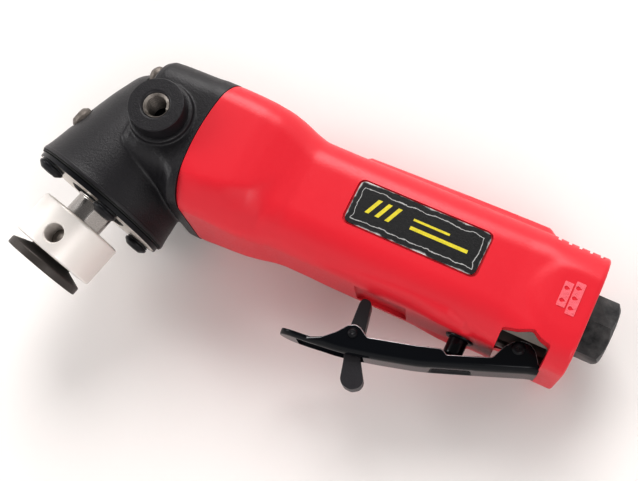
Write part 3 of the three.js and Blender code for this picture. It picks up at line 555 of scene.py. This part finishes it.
def socket_head(name, radius, height, shank, length, socket, dome=0.45):
    profile = rounded([(0, -length), (shank, -length), (shank, 0), (radius, 0), (radius, height * (1 - dome)),
                       (radius * 0.62, height), (0, height)], 0.5)
    screw = lathe(name, profile, 64)
    recess = lathe("socket", [(0, height * 0.35), (socket / math.sqrt(3), height * 0.35),
                              (socket / math.sqrt(3), height + 1), (0, height + 1)], 6)
    return crisp(cut(screw, recess))


def head_screws():
    for index, (x, y, z) in enumerate(screw_seats()):
        screw = socket_head(f"head_screw_{index + 1}_turned", 3.5, 3.4, 1.95, 29 if index < 2 else 10, 2.6)
        screw.data.transform(Matrix.Rotation(-math.pi / 2, 4, "Y"))
        screw.data.transform(Matrix.Translation((x - 0.1, y, z)))
        place(screw, "tool_body", FINISH["aged_steel"], "bright_steel", f"head_screw_{index + 1}")
    grease = at_grease_screw(socket_head("grease_screw_turned", 3.9, 3.1, 2.4, 5, 2.6))
    place(grease, "tool_body", FINISH["aged_steel"], "bright_steel", "grease_screw")


# ---------------------------------------------------------------- spindle end

def bearing_cover():
    """A plated disc; a black ring covers its edge."""
    plate_radius = COVER_RADIUS - 0.5
    corners = [(9.4, 24.5), (17.3, 24.5), (17.3, COVER_BASE), (plate_radius, COVER_BASE),
               (plate_radius, COVER_TOP), (11.3, COVER_TOP), (11.3, 26), (9.4, 26)]
    profile = rounded(corners, 0.25, closed=True)
    edge_corners = [(COVER_RADIUS - 1.2, COVER_BASE), (COVER_RADIUS, COVER_BASE), (COVER_RADIUS, COVER_TOP),
                    (COVER_RADIUS - 0.7, COVER_TOP + 0.02), (COVER_RADIUS - 1.2, COVER_TOP - 0.5)]
    edge = lathe("bearing_cover_edge", rounded(edge_corners, 0.2, closed=True), 160, closed=True)
    place(crisp(turn(edge, "spindle")), "tool_body", FINISH["black_oxide"], "black_oxide")
    cover = lathe("bearing_cover_turned", profile, 160, closed=True)
    holes = [rod("hole", 2.3, COVER_BASE - 1, COVER_TOP + 1, 32) for _ in SCREW_ANGLES]
    for hole, angle in zip(holes, SCREW_ANGLES):
        offset = (SCREW_CIRCLE * math.cos(angle), SCREW_CIRCLE * math.sin(angle), 0)
        hole.data.transform(Matrix.Translation(offset))
    turn(crisp(cut(cover, *holes)), "spindle")
    place(cover, "tool_body", FINISH["zinc_plate"], "zinc_plate", "bearing_cover")


def split_washer(name):
    """A spring washer: a square wire ring with a slanted gap and a slight climb."""
    inner, outer, thick, segments = 2.2, 4.2, 0.6, 60
    gap_angle = 0.16
    vertices, faces = [], []
    for k in range(segments + 1):
        angle = gap_angle + (2 * math.pi - 2 * gap_angle) * k / segments
        lift = 0.08 * k / segments
        for radius, height in ((inner, 0), (outer, 0), (outer, thick), (inner, thick)):
            vertices.append((radius * math.cos(angle), radius * math.sin(angle), height + lift))
    for k in range(segments):
        for side in range(4):
            a, b = 4 * k + side, 4 * k + (side + 1) % 4
            faces.append((a, b, b + 4, a + 4))
    faces += [(0, 1, 2, 3), tuple(4 * segments + i for i in range(4))]
    return new_object(name, vertices, faces, smooth=False)


def cover_screws():
    for index, angle in enumerate(SCREW_ANGLES):
        offset = (SCREW_CIRCLE * math.cos(angle), SCREW_CIRCLE * math.sin(angle))
        washer = split_washer(f"cover_washer_{index + 1}_split")
        washer.data.transform(Matrix.Translation((*offset, COVER_TOP + 0.1)))
        place(turn(washer, "spindle"), "tool_body", FINISH["black_oxide"], "black_oxide",
              f"cover_washer_{index + 1}")
        screw = socket_head(f"cover_screw_{index + 1}_turned", 4.5, 2.3, 1.95, 10, 3, dome=0.6)
        screw.data.transform(Matrix.Translation((*offset, COVER_TOP + 0.9)))
        place(turn(screw, "spindle"), "tool_body", FINISH["black_oxide"], "black_oxide",
              f"cover_screw_{index + 1}")


def spindle():
    profile = [(0, -14), (4, -14), (4, -9.4), (5.2, -9.4), (5.2, 2.6), (6.5, 4), (6.5, 13.2), (7.5, 13.2),
               (7.5, 31), (7.1, 31.6), (7.1, 38.3), (5, 38.3), (5, 52.9), (0, 52.9)]
    shaft = lathe("spindle_turned", rounded(profile, 0.2), 128)
    flats = []
    for side in (1, -1):
        low, high = sorted((side * 6.3, side * 9))
        flat = box("flat", -9, 9, low, high, 32.4, 38.4)
        flat.data.transform(Matrix.Rotation(math.radians(-58), 4, "Z"))
        flats.append(flat)
    bore = rod("bore", 3.2, 42.4, 54)
    turn(crisp(cut(shaft, *flats, bore)), "spindle")
    place(shaft, "output_spindle", FINISH["bright_steel"], "bright_steel", "spindle")


def drum_hub():
    start, end, radius = HUB
    profile = rounded([(5.1, start), (radius, start), (radius, end), (5.1, end)], 1.1, closed=True, steps=8)
    hub = lathe("drum_hub_turned", profile, 192, closed=True)
    hole = rod("hole", 3.25, 4, 18, 64)
    mouth_profile = [(0, radius - 0.7), (3.2, radius - 0.7), (4.4, radius + 0.5), (0, radius + 0.5)]
    mouth = lathe("mouth", mouth_profile, 64)
    for tool in (hole, mouth):
        tool.data.transform(Matrix.Rotation(math.pi / 2, 4, "Y"))
        tool.data.transform(Matrix.Rotation(math.radians(-99), 4, "Z"))
        tool.data.transform(Matrix.Translation((0, 0, 47.3)))
    turn(crisp(cut(hub, hole, mouth)), "spindle")
    place(hub, "output_spindle", FINISH["hub_aluminium"], "hub_aluminium", "drum_hub")


def clamp_flange():
    back = WHEEL_FACE - 2.7
    profile = rounded([(0, 44.4), (2.9, 44.4), (2.9, 53.8), (7.9, 53.8), (7.9, 54.3), (14, back),
                       (14, WHEEL_FACE), (0, WHEEL_FACE)], 0.45)
    flange = lathe("clamp_flange_turned", profile, 160)
    holes = [rod("pin_hole", 2, WHEEL_FACE - 2.6, WHEEL_FACE + 1) for _ in range(2)]
    for hole, x in zip(holes, (8.5, -8.5)):
        hole.data.transform(Matrix.Translation((x, 0, 0)))
    turn(crisp(cut(flange, *holes)), "spindle")
    place(flange, "output_spindle", FINISH["flange_steel"], "flange_steel", "clamp_flange")


# ---------------------------------------------------------------- grip

#      x, top, bottom, half width, upper corner, lower corner
GRIP = [
    (22.15, 23.4, -22.4, 25.4, 9.6, 9.8),
    (24, 23.5, -22.6, 25.5, 9.8, 10.2),
    (32, 23.4, -22.4, 25.5, 10, 11.5),
    (39, 23.2, -22.4, 25.2, 10.2, 13),
    (45, 22.8, -22.3, 24.2, 10.5, 14),
    (50, 21.9, -21.7, 22.8, 11, 13.6),
    (55, 20.4, -20.7, 21.4, 11.5, 12.6),
    (59, 19.6, -20.3, 20.6, 12, 12),
    (72, 19.7, -20.4, 20.2, 12, 12),
    (100, 19.9, -20.4, 20.2, 12, 12),
    (132, 20, -20.2, 20.2, 11.4, 11.4),
    (138, 19.8, -20.5, 20.6, 11, 10),
    (142, 19.5, -20.7, 21, 11.5, 9),
    (GRIP_END, 19.5, -20.7, 21, 11.5, 9),
]
LATCH_POCKET = [(85.5, -24), (105.5, -24), (104, -18.9), (87, -18.9)]
LOUVRES = {"first": 138.5, "pitch": 3.4, "count": 5, "width": 1.1, "half": 16.5}
RAIL_LINE = [(60, -22), (70, -20), (78, -18.5), (91, -17.2), (104, -16.6), (117, -16.7), (123, -18.1),
             (129, -22)]
PIVOT_WINDOW = [(133.9, -26), (133.9, -15.3), (138.6, -14.3), (142.6, -12.6), (145.2, -14.2), (148.7, -15),
                (148.7, -26)]


def grip_skin():
    """The grip's outer skin: stations blended along the handle, then the raised pads added."""
    stations = np.array(GRIP)
    xs = np.concatenate([np.linspace(22.15, 23, 5), np.arange(23.5, 154.9, 0.55),
                         [155.0, 155.35, 155.6, GRIP_END]])
    spread = 1.1
    columns = []
    for column in range(1, 6):
        offsets = np.linspace(-2, 2, 9) * spread
        weights = np.exp(-0.5 * (offsets / spread) ** 2)
        samples = [np.interp(xs + offset, stations[:, 0], stations[:, column]) for offset in offsets]
        columns.append(np.average(samples, axis=0, weights=weights))
    inset = 0.9 * (1 - np.sqrt(np.clip(1 - (np.clip(xs - (GRIP_END - 0.9), 0, 0.9) / 0.9) ** 2, 0, 1)))
    rings = []
    for x, top, bottom, half, upper, lower, shrink in zip(xs, *columns, inset):
        rings.append(rounded_section(x, top - shrink, bottom + shrink, half - shrink, upper, lower,
                                     steps=18, flats=14))
    rings = np.array(rings)
    x, y, z = rings[..., 0], rings[..., 1], rings[..., 2]

    pad_height = np.interp(x, [72, 104, 135], [1.15, 1.8, 2.3])
    pad = pad_height * smoothstep(x, 72.2, 73.8) * (1 - smoothstep(x, 134.4, 139.2))
    pad *= (1 - smoothstep(np.abs(z), 9.2, 11.8)) * (y > 0)
    y += pad

    rail_top = np.interp(x, *zip(*RAIL_LINE))
    rail = (1 - smoothstep(y, rail_top - 1.2, rail_top + 0.4)) * smoothstep(x, 60, 76)
    rail *= (1 - smoothstep(x, 126, 130)) * smoothstep(np.abs(z), 8.2, 9.4)
    z += 0.9 * rail * np.sign(z)
    y -= 0.9 * rail * smoothstep(x, 104, 118)

    fold = np.interp(x, [22, 30, 38, 46, 54, 60], [-10.5, -12, -11, -7, 3, 14])
    below = np.clip(fold - y, 0, 14) * (1 - smoothstep(x, 44, 58))
    z -= 1.1 * smoothstep(below, 0, 7) * np.sign(z) * smoothstep(np.abs(z), 12, 19)

    ramp = smoothstep(np.hypot((x - 150) / 15, y / 13), 0.72, 1.0)
    z += 0.35 * (1 - ramp) * np.sign(z) * (np.abs(z) > 17)

    x += JOINT_LEAN * y ** 2 * (1 - smoothstep(x, 22, 40))
    return loft("grip_skin", rings)


def grip_inner():
    return loft("grip_inner", [rounded_section(*s) for s in [
        (HEAD_JOINT - 2, 20.6, -19.6, 22.6, 7.5, 7.5), (31, 20.6, -19.6, 22.6, 7.5, 7.5),
        (44, 19.4, -19.2, 21.2, 8.4, 8.4), (55, 17.6, -17.6, 18.6, 9.4, 9.4),
        (60, 17.5, -17.5, 17.8, 9.6, 9.6),
        (GRIP_END + 2, 17.5, -17.5, 17.8, 9.6, 9.6),
    ]])


def grip_cover():
    grip = grip_skin()
    x0, x1, y0, y1, floor = NAMEPLATE
    recess_corners = [(x0 - 0.7, y0 - 0.7), (x1 + 0.5, y0 - 0.7), (x1 + 0.5, y1 + 0.5), (x0 - 0.7, y1 + 0.5)]
    tools = [grip_inner()]
    tools.append(prism("recess", rounded(recess_corners, 2.6, closed=True), floor - 0.1, 26))
    tools.append(prism("latch_pocket", rounded(LATCH_POCKET, 1.6, closed=True), -8.2, 8.2))
    tools.append(turn(rod("valve_hole", 4.7, -24, -10, 64), "valve", (VALVE_X, 0, 0)))
    tools.append(prism("window", rounded(PIVOT_WINDOW, 0.8, closed=True), -30, 30))
    for k in range(LOUVRES["count"]):
        x = LOUVRES["first"] + k * LOUVRES["pitch"]
        tools.append(box("louvre", x, x + LOUVRES["width"], 17, 25, -LOUVRES["half"], LOUVRES["half"]))
    cut(grip, *tools)
    grip.name = "grip_cover_moulded"
    place(crisp(grip, 38), "tool_body", FINISH["red_composite"], "red_composite", "grip_cover")
    oil_marks()


#           x0, x1, y0, y1, and where each drop sits across the pad
OIL_PADS = [(145.2, 147.9, -3.4, 4.6, (-1.4, 2.6)), (148.4, 151.3, -4.8, 5.8, (-2.8, 0.5, 3.8))]


def drop_outline(x, y, size):
    """A plain drop, pointing along +X."""
    turns = [math.radians(a) for a in range(60, 301, 20)]
    return [(x + size * 1.9, y)] + [(x + size * math.cos(a), y + size * math.sin(a)) for a in turns]


def oil_marks():
    """Two rough moulded pads beside the inlet, each pierced by plain drops: the tool wants oil."""
    pads = []
    for x0, x1, y0, y1, drops in OIL_PADS:
        pad = prism("pad", rounded([(x0, y0), (x1, y0), (x1, y1), (x0, y1)], 0.3, closed=True), 20.7, 21.5)
        cut(pad, *[prism("drop", drop_outline(x0 + 1.0, y, 0.62), 20, 23) for y in drops])
        pads.append(pad)
    marks = join(*pads)
    marks.name = "oil_marks_moulded"
    pink = surface("worn_pink", (0.82, 0.16, 0.19), 0.75, 0.0, grain=(2600, 0.0003, 0.9), mottle=(900, 0.3))
    place(marks, "tool_body", pink, "red_composite")


# ---------------------------------------------------------------- label

BORDER_WANDER = 0.0024                      # how far the worn white border strays, in metres
BORDER_START, BORDER_REACH = 0.001, 0.008   # where it starts inside the edge, and how far in it goes


def label_marks():
    """Generic printed marks: three slanted bars and two plain lines."""
    x0, x1, y0, _, floor = NAMEPLATE
    top = floor + 0.62
    marks = []
    for k in range(3):
        left = x0 + 5 + 3.4 * k
        marks.append([(left, y0 + 5), (left + 1.4, y0 + 5), (left + 3.9, y0 + 10.5), (left + 2.5, y0 + 10.5)])
    marks.append([(x0 + 20, y0 + 5.6), (x1 - 5, y0 + 5.6), (x1 - 5, y0 + 6.8), (x0 + 20, y0 + 6.8)])
    marks.append([(x0 + 20, y0 + 8.6), (x1 - 12, y0 + 8.6), (x1 - 12, y0 + 9.4), (x0 + 20, y0 + 9.4)])
    pieces = [prism("mark", outline, top - 0.3, top + 0.02) for outline in marks]
    return join(*pieces)


def nameplate():
    x0, x1, y0, y1, floor = NAMEPLATE
    outline = rounded([(x0, y0), (x1 - 0.4, y0), (x1, y1), (x0, y1)], 2.2, closed=True, steps=6)
    plate = prism("nameplate_printed", outline, floor, floor + 0.6)
    place(crisp(plate), "tool_body", label_finish(), "label_black", "nameplate")
    marks = label_marks()
    marks.name = "nameplate_marks"
    yellow = surface("label_yellow", (0.62, 0.54, 0.04), 0.45, 0.0, grain=(1800, 0.00005, 0.2),
                     mottle=(700, 0.35))
    place(marks, "tool_body", yellow, "label_black")


def label_finish():
    """Black print with a rubbed white border that follows the plate's edge."""
    material = surface("label_print", (0.011, 0.011, 0.012), 0.4, 0.0, grain=(1500, 0.00015, 0.5),
                       mottle=(900, 0.6))
    nodes, links = material.node_tree.nodes, material.node_tree.links
    shader = nodes["Principled BSDF"]
    x0, x1, y0, y1, _ = NAMEPLATE
    centre = TOOL_POINT + Vector(((x0 + x1) / 2, (y0 + y1) / 2, 0)) * MM
    where = nodes.new("ShaderNodeTexCoord")
    noise = nodes.new("ShaderNodeTexNoise")
    noise.inputs["Scale"].default_value = 260
    noise.inputs["Detail"].default_value = 4
    links.new(where.outputs["Object"], noise.inputs["Vector"])
    split = nodes.new("ShaderNodeSeparateXYZ")
    links.new(where.outputs["Object"], split.inputs["Vector"])
    sides = []
    for axis, middle, half in (("X", centre.x, (x1 - x0) / 2), ("Y", centre.y, (y1 - y0) / 2)):
        shifted = nodes.new("ShaderNodeMath")
        shifted.operation = "SUBTRACT"
        shifted.inputs[1].default_value = middle
        links.new(split.outputs[axis], shifted.inputs[0])
        distance = nodes.new("ShaderNodeMath")
        distance.operation = "ABSOLUTE"
        links.new(shifted.outputs[0], distance.inputs[0])
        inside = nodes.new("ShaderNodeMath")
        inside.operation = "SUBTRACT"
        inside.inputs[0].default_value = half * MM
        links.new(distance.outputs[0], inside.inputs[1])
        sides.append(inside.outputs[0])
    nearest = nodes.new("ShaderNodeMath")
    nearest.operation = "MINIMUM"
    links.new(sides[0], nearest.inputs[0])
    links.new(sides[1], nearest.inputs[1])
    wander = nodes.new("ShaderNodeMath")
    wander.operation = "MULTIPLY_ADD"
    wander.inputs[1].default_value = BORDER_WANDER
    links.new(noise.outputs["Fac"], wander.inputs[0])
    links.new(nearest.outputs[0], wander.inputs[2])
    ramp = nodes.new("ShaderNodeValToRGB")
    white, black = (0.75, 0.75, 0.74, 1), (0, 0, 0, 1)
    stops = [(0.0, white), (0.07, black), (0.235, black), (0.255, white), (0.285, black)]
    ramp.color_ramp.elements[0].position = stops[0][0]
    ramp.color_ramp.elements[0].color = stops[0][1]
    ramp.color_ramp.elements[1].position = stops[1][0]
    ramp.color_ramp.elements[1].color = stops[1][1]
    for position, colour in stops[2:]:
        element = ramp.color_ramp.elements.new(position)
        element.color = colour
    scaled = nodes.new("ShaderNodeMapRange")
    scaled.inputs["From Min"].default_value = BORDER_START
    scaled.inputs["From Max"].default_value = BORDER_START + BORDER_REACH
    links.new(wander.outputs[0], scaled.inputs["Value"])
    links.new(scaled.outputs["Result"], ramp.inputs["Fac"])
    base = shader.inputs["Base Color"].links[0].from_socket
    mixed = nodes.new("ShaderNodeMix")
    mixed.data_type = "RGBA"
    mixed.inputs[7].default_value = white
    links.new(ramp.outputs["Color"], mixed.inputs["Factor"])
    links.new(base, mixed.inputs[6])
    links.new(mixed.outputs[2], shader.inputs["Base Color"])
    return material


# ---------------------------------------------------------------- throttle

WEB_LINE = [(70.6, -43.4), (78, -42.8), (91, -41.2), (102, -38.6), (115.5, -34.8), (134, -27.6), (149, -21.6)]
TOP_LINE = [(70.6, -41.7), (80, -41.1), (84, -39.4), (88, -35.6), (90.3, -32.4), (92.4, -31.2), (94.2, -31.5),
            (97.4, -33.4), (112.5, -29.2), (119.4, -26.9), (120.6, -27.2), (121.8, -28), (133, -23.5),
            (135, -22.6), (135.8, -20.4), (136.8, -18), (138.6, -15.6), (141, -14.2), (143.6, -14.1),
            (145.8, -15.4), (147.4, -17.8), (148.4, -19.4), (149, -20)]


def bend_points(base, half, radius, steps=8):
    """A quarter round from the flange's side into the web, as points [y, z]."""
    angles = [math.pi / 2 * k / steps for k in range(steps + 1)]
    return [(base + radius * (1 - math.sin(a)), half - radius * (1 - math.cos(a))) for a in angles]


def lever_ring(x, outer, top, half, thickness=1.6, bend=2.9):
    """One U-shaped cross-section of the pressed lever."""
    inner_half = half - thickness
    inner_bend = max(bend - thickness, 0.6)
    floor = outer + thickness
    top = max(top, floor + 0.15)
    outer_bend = min(bend, half * 0.9, max(top - outer, 0.8))
    inner_bend = min(inner_bend, inner_half * 0.9, max(top - floor, 0.1))
    outside = bend_points(outer, half, outer_bend)
    inside = bend_points(floor, inner_half, inner_bend)
    lip = 0.35
    right = [(top - lip, half), (top, half - lip), (top, inner_half + lip), (top - lip, inner_half)]
    right_outside = [(y, z) for y, z in reversed(outside)]
    web = 14
    loop = []
    corner_y, corner_z = right_outside[0]
    for k in range(web + 1):
        loop.append((corner_y, -corner_z + 2 * corner_z * k / web))
    loop += right_outside[1:]
    loop += right
    loop += inside
    low_y, low_z = inside[-1]
    for k in range(1, web):
        loop.append((low_y, low_z - 2 * low_z * k / web))
    loop += [(y, -z) for y, z in reversed(inside)]
    loop += [(y, -z) for y, z in reversed(right)]
    loop += [(y, -z) for y, z in reversed(right_outside[1:])]
    return [(x, y, z) for y, z in loop]


def lever_highlight_strip(top_line):
    """The thin rolled lip along the top of each flange, in bright metal: a painted highlight for the light
    caught by the lever's rounded top edges.
    """
    offsets = np.linspace(-3, 3, 7)
    lips = []
    for side in (1, -1):
        rings = []
        for x in np.arange(80.0, 148.6, 0.35):
            y = float(np.mean(np.interp(x + offsets * 0.13, top_line[:, 0], top_line[:, 1])))
            angles = [2 * math.pi * k / 8 for k in range(8)]
            half = LEVER_HALF - 0.9 * (1 - float(smoothstep(x, 78, 88)))
            lip_y, lip_z = y - 0.3, side * (half - 0.42)
            rings.append([(x, lip_y + 0.36 * math.cos(a), lip_z + 0.46 * math.sin(a)) for a in angles])
        lips.append(loft("lip", rings))
    lip = join(*lips)
    lip.name = "throttle_lever_highlight_strip"
    place(lip, "throttle", FINISH["painted_highlight_lip"], "gloss_black")


def throttle_lever():
    tip_xs = 70.6 + 4.5 * (1 - np.cos(np.linspace(0.12, math.pi / 2, 16)))
    xs = np.concatenate([tip_xs, np.arange(75.5, 148.9, 0.35), [149]])
    web = np.array(WEB_LINE)
    top = np.array(TOP_LINE)
    offsets = np.linspace(-3, 3, 7)
    rings = []
    for x in xs:
        outer = float(np.mean(np.interp(x + offsets, web[:, 0], web[:, 1])))
        upper = float(np.mean(np.interp(x + offsets * 0.13, top[:, 0], top[:, 1])))
        tip = min(1.0, (x - 70.6) / 5.5)
        half = LEVER_HALF * (0.35 + 0.65 * math.sqrt(max(0.0, 1 - (1 - tip) ** 2)))
        half -= 0.9 * (1 - float(smoothstep(x, 78, 88)))
        rings.append(lever_ring(x, outer, upper, half))
    rings = np.array(rings)
    x, y, z = rings[..., 0], rings[..., 1], rings[..., 2]
    outer = np.interp(x, web[:, 0], web[:, 1])
    dimple = smoothstep(x, 117.5, 119.5) * (1 - smoothstep(x, 129.5, 131.5))
    dimple = dimple * (1 - smoothstep(np.abs(z), 3.6, 5))
    y += 0.9 * dimple * (y < outer + 1.2)
    lever = loft("throttle_lever_pressed", rings)
    slot_corners = [(76.6, -50), (98.4, -50), (98.4, -34.5), (76.6, -34.5)]
    slot = prism("slot", rounded(slot_corners, 0.5, closed=True), -4.4, 4.4)
    cut(lever, slot,
        turn(rod("pin_bore", 1.8, -12, 12), "cross", (*LEVER_PIVOT, 0)),
        turn(rod("rivet_bore", 1.3, -12, 12), "cross", (*LATCH_PIVOT, 0)))
    place(crisp(lever, 42), "throttle", FINISH["gloss_black"], "gloss_black", "throttle_lever")
    lever_highlight_strip(top)


def pin(name, centre, radius, head, node, body, material, slot):
    half = LEVER_HALF + 0.1
    profile = rounded([(0, -half - 0.9), (head * 0.7, -half - 0.9), (head, -half), (radius, -half),
                       (radius, half), (head, half), (head * 0.7, half + 0.9), (0, half + 0.9)], 0.45)
    rivet = lathe(name, profile, 64)
    dents = [lathe("dent", [(0, s * (half + 0.5)), (0.55, s * (half + 0.9)), (0.6, s * (half + 1.6)),
                            (0, s * (half + 1.6))], 32) for s in (1, -1)]
    place(turn(crisp(cut(rivet, *dents), 50), "cross", (*centre, 0)), body, material, slot, node)


LATCH_OUTLINE = [(-2.9, 10.8), (-2.4, 12.3), (-1, 12.7), (0.5, 12.3), (1, 10.9), (2.7, 2.7), (3.3, -1.6),
                 (5.1, -5.9), (9.1, -12), (8.7, -14.2), (6.4, -15.9), (3.6, -15.7), (2, -14.3), (0.3, -7.9),
                 (-1.6, -3.4), (-2.2, 1)]


def latch():
    body = prism("latch_pressed", rounded(LATCH_OUTLINE, 0.9, closed=True, steps=3), -3.2, 3.2)
    turn(body, "cross", (*LATCH_PIVOT, 0))
    cut(body, turn(rod("bore", 1.45, -12, 12), "cross", (*LATCH_PIVOT, 0)))
    place(soften(body, 0.3, 2), "safety_latch", FINISH["latch_steel"], "latch_steel", "latch")


def valve():
    stem_profile = [(0, -27.8), (2.4, -27.4), (3.1, -26), (3.1, -18.6), (2.1, -18.6), (2.1, -11.9),
                    (4.8, -11.9), (4.8, -9.7), (2, -9.7), (2, -6.9), (0, -6.9)]
    stem = turn(lathe("valve_stem_turned", rounded(stem_profile, 0.5), 64), "valve", (VALVE_X, 0, 0))
    place(stem, "throttle_valve", FINISH["gloss_black"], "black_oxide", "valve_stem")
    bushing_profile = [(3.3, -20.9), (4.4, -20.9), (4.6, -19.2), (4.6, -12), (2.35, -12), (2.35, -14.6),
                       (3.3, -14.6)]
    bushing = lathe("valve_bushing_turned", rounded(bushing_profile, 0.3, closed=True), 96, closed=True)
    turn(bushing, "valve", (VALVE_X, 0, 0))
    place(bushing, "tool_body", FINISH["black_oxide"], "black_oxide", "valve_bushing")


# ---------------------------------------------------------------- air inlet

def inlet_bushing():
    across, start, end = 19.0, 155.7, 164.6
    corner = across / math.sqrt(3)
    hexagon = lathe("hexagon", [(0, start), (corner, start), (corner, end), (0, end)], 6)
    hexagon.data.transform(Matrix.Rotation(math.radians(33), 4, "Z"))
    turned_down = lathe("chamfer", [(0, start - 1), (across / 2 + 2, start - 1), (across / 2 + 2, end - 1.7),
                                    (across / 2 - 0.4, end), (0, end)], 128)
    boolean(hexagon, "INTERSECT", turned_down)
    neck = rod("neck", 7.2, 138, start + 0.2, 96)
    boolean(hexagon, "UNION", neck)
    bore = lathe("bore", [(0, 136), (5.4, 136), (5.4, 152), (6.3, 153), (6.3, end - 0.8), (7.1, end + 0.2),
                          (7.1, end + 2), (0, end + 2)], 96)
    cut(hexagon, bore)
    hexagon.name = "inlet_bushing_turned"
    turn(soften(hexagon, 0.25, 2, 40), "handle")
    place(hexagon, "tool_body", FINISH["black_oxide"], "black_oxide", "inlet_bushing")
    thread = turn(threaded_wall("inlet_thread", 6.28, 6.1, 5.6, 152.5, end - 1.0, 1.34), "handle")
    place(thread, "tool_body", FINISH["black_oxide"], "black_oxide")


# ---------------------------------------------------------------- table, lights, camera

def table_and_lights():
    stand = BOSS[3] + 0.05
    floor = box("table", -3500, 3500, -3500, 3500, -3, 0)
    tilt = math.atan(FLOOR_SLOPE)
    matrix = Matrix.Translation(TOOL_POINT) @ Matrix.Scale(MM, 4)
    matrix = matrix @ Matrix.Translation((BOSS[0], 0, -stand)) @ Matrix.Rotation(-tilt, 4, "Y")
    floor.data.transform(matrix)
    paper = surface("table_white", (0.82, 0.795, 0.78), 0.75, 0.0, grain=(200, 0.0001, 0.05),
                    mottle=(6, 0.012))
    floor.data.materials.append(paper)

    world = bpy.data.worlds.new("studio")
    world.use_nodes = True
    nodes, links = world.node_tree.nodes, world.node_tree.links
    direction = nodes.new("ShaderNodeTexCoord")
    height = nodes.new("ShaderNodeSeparateXYZ")
    links.new(direction.outputs["Generated"], height.inputs["Vector"])
    ceiling = nodes.new("ShaderNodeMapRange")
    ceiling.interpolation_type = "SMOOTHSTEP"
    ceiling.inputs["From Min"].default_value = WALL_TOP
    ceiling.inputs["From Max"].default_value = CEILING_EDGE
    ceiling.inputs["To Min"].default_value = WALL_LIGHT
    ceiling.inputs["To Max"].default_value = CEILING_LIGHT
    links.new(height.outputs["Z"], ceiling.inputs["Value"])
    background = nodes["Background"]
    background.inputs["Color"].default_value = (1.0, 0.985, 0.975, 1)
    links.new(ceiling.outputs["Result"], background.inputs["Strength"])
    bpy.context.scene.world = world

    middle = TOOL_POINT + Vector((70, -5, 0)) * MM
    for name, offset, size, power, colour in (
        ("key", (-0.7, 1.9, 1.7), 1.7, 50, (1, 0.985, 0.975)),
        ("side", (-1.9, -0.3, 1.0), 1.0, 13, (1, 1, 1)),
        ("front", (1.6, -1.2, 2.2), 1.6, 24, (1, 0.99, 0.985)),
    ):
        light = bpy.data.lights.new(name, "AREA")
        light.shape = "DISK"
        light.size = size
        light.energy = power
        light.color = colour
        lamp = bpy.data.objects.new(name, light)
        lamp.location = middle + Vector(offset)
        lamp.rotation_euler = (middle - lamp.location).to_track_quat("-Z", "Y").to_euler()
        bpy.context.scene.collection.objects.link(lamp)


def camera():
    """Above the lever side, nearer the inlet than the head."""
    right = Vector((0.89352, 0.43879, -0.09531))
    down = Vector((0.39538, -0.86945, -0.29620))
    ahead = Vector((-0.21284, 0.22697, -0.95036))
    data = bpy.data.cameras.new("camera")
    data.sensor_width = 36
    data.lens = 53.6
    data.clip_start = 0.01
    obj = bpy.data.objects.new("camera", data)
    rotation = Matrix((right, -down, -ahead)).transposed()
    stand = TOOL_POINT + Vector((135.08, -81.09, 299.37)) * MM
    obj.matrix_world = Matrix.Translation(stand) @ rotation.to_4x4()
    bpy.context.scene.collection.objects.link(obj)
    bpy.context.scene.camera = obj


# ---------------------------------------------------------------- assembly

dress_cad_nodes()
gear_housing()
head_screws()
bearing_cover()
cover_screws()
spindle()
drum_hub()
clamp_flange()
grip_cover()
nameplate()
throttle_lever()
pin("lever_pin_riveted", LEVER_PIVOT, 1.6, 2.3, "lever_pin", "tool_body", FINISH["black_oxide"],
    "black_oxide")
pin("latch_pin_riveted", LATCH_PIVOT, 1.2, 1.7, "latch_pin", "throttle", FINISH["black_oxide"], "black_oxide")
latch()
valve()
inlet_bushing()
table_and_lights()
camera()
bpy.context.scene.view_settings.view_transform = "Standard"
bpy.context.scene.view_settings.gamma = CONTRAST
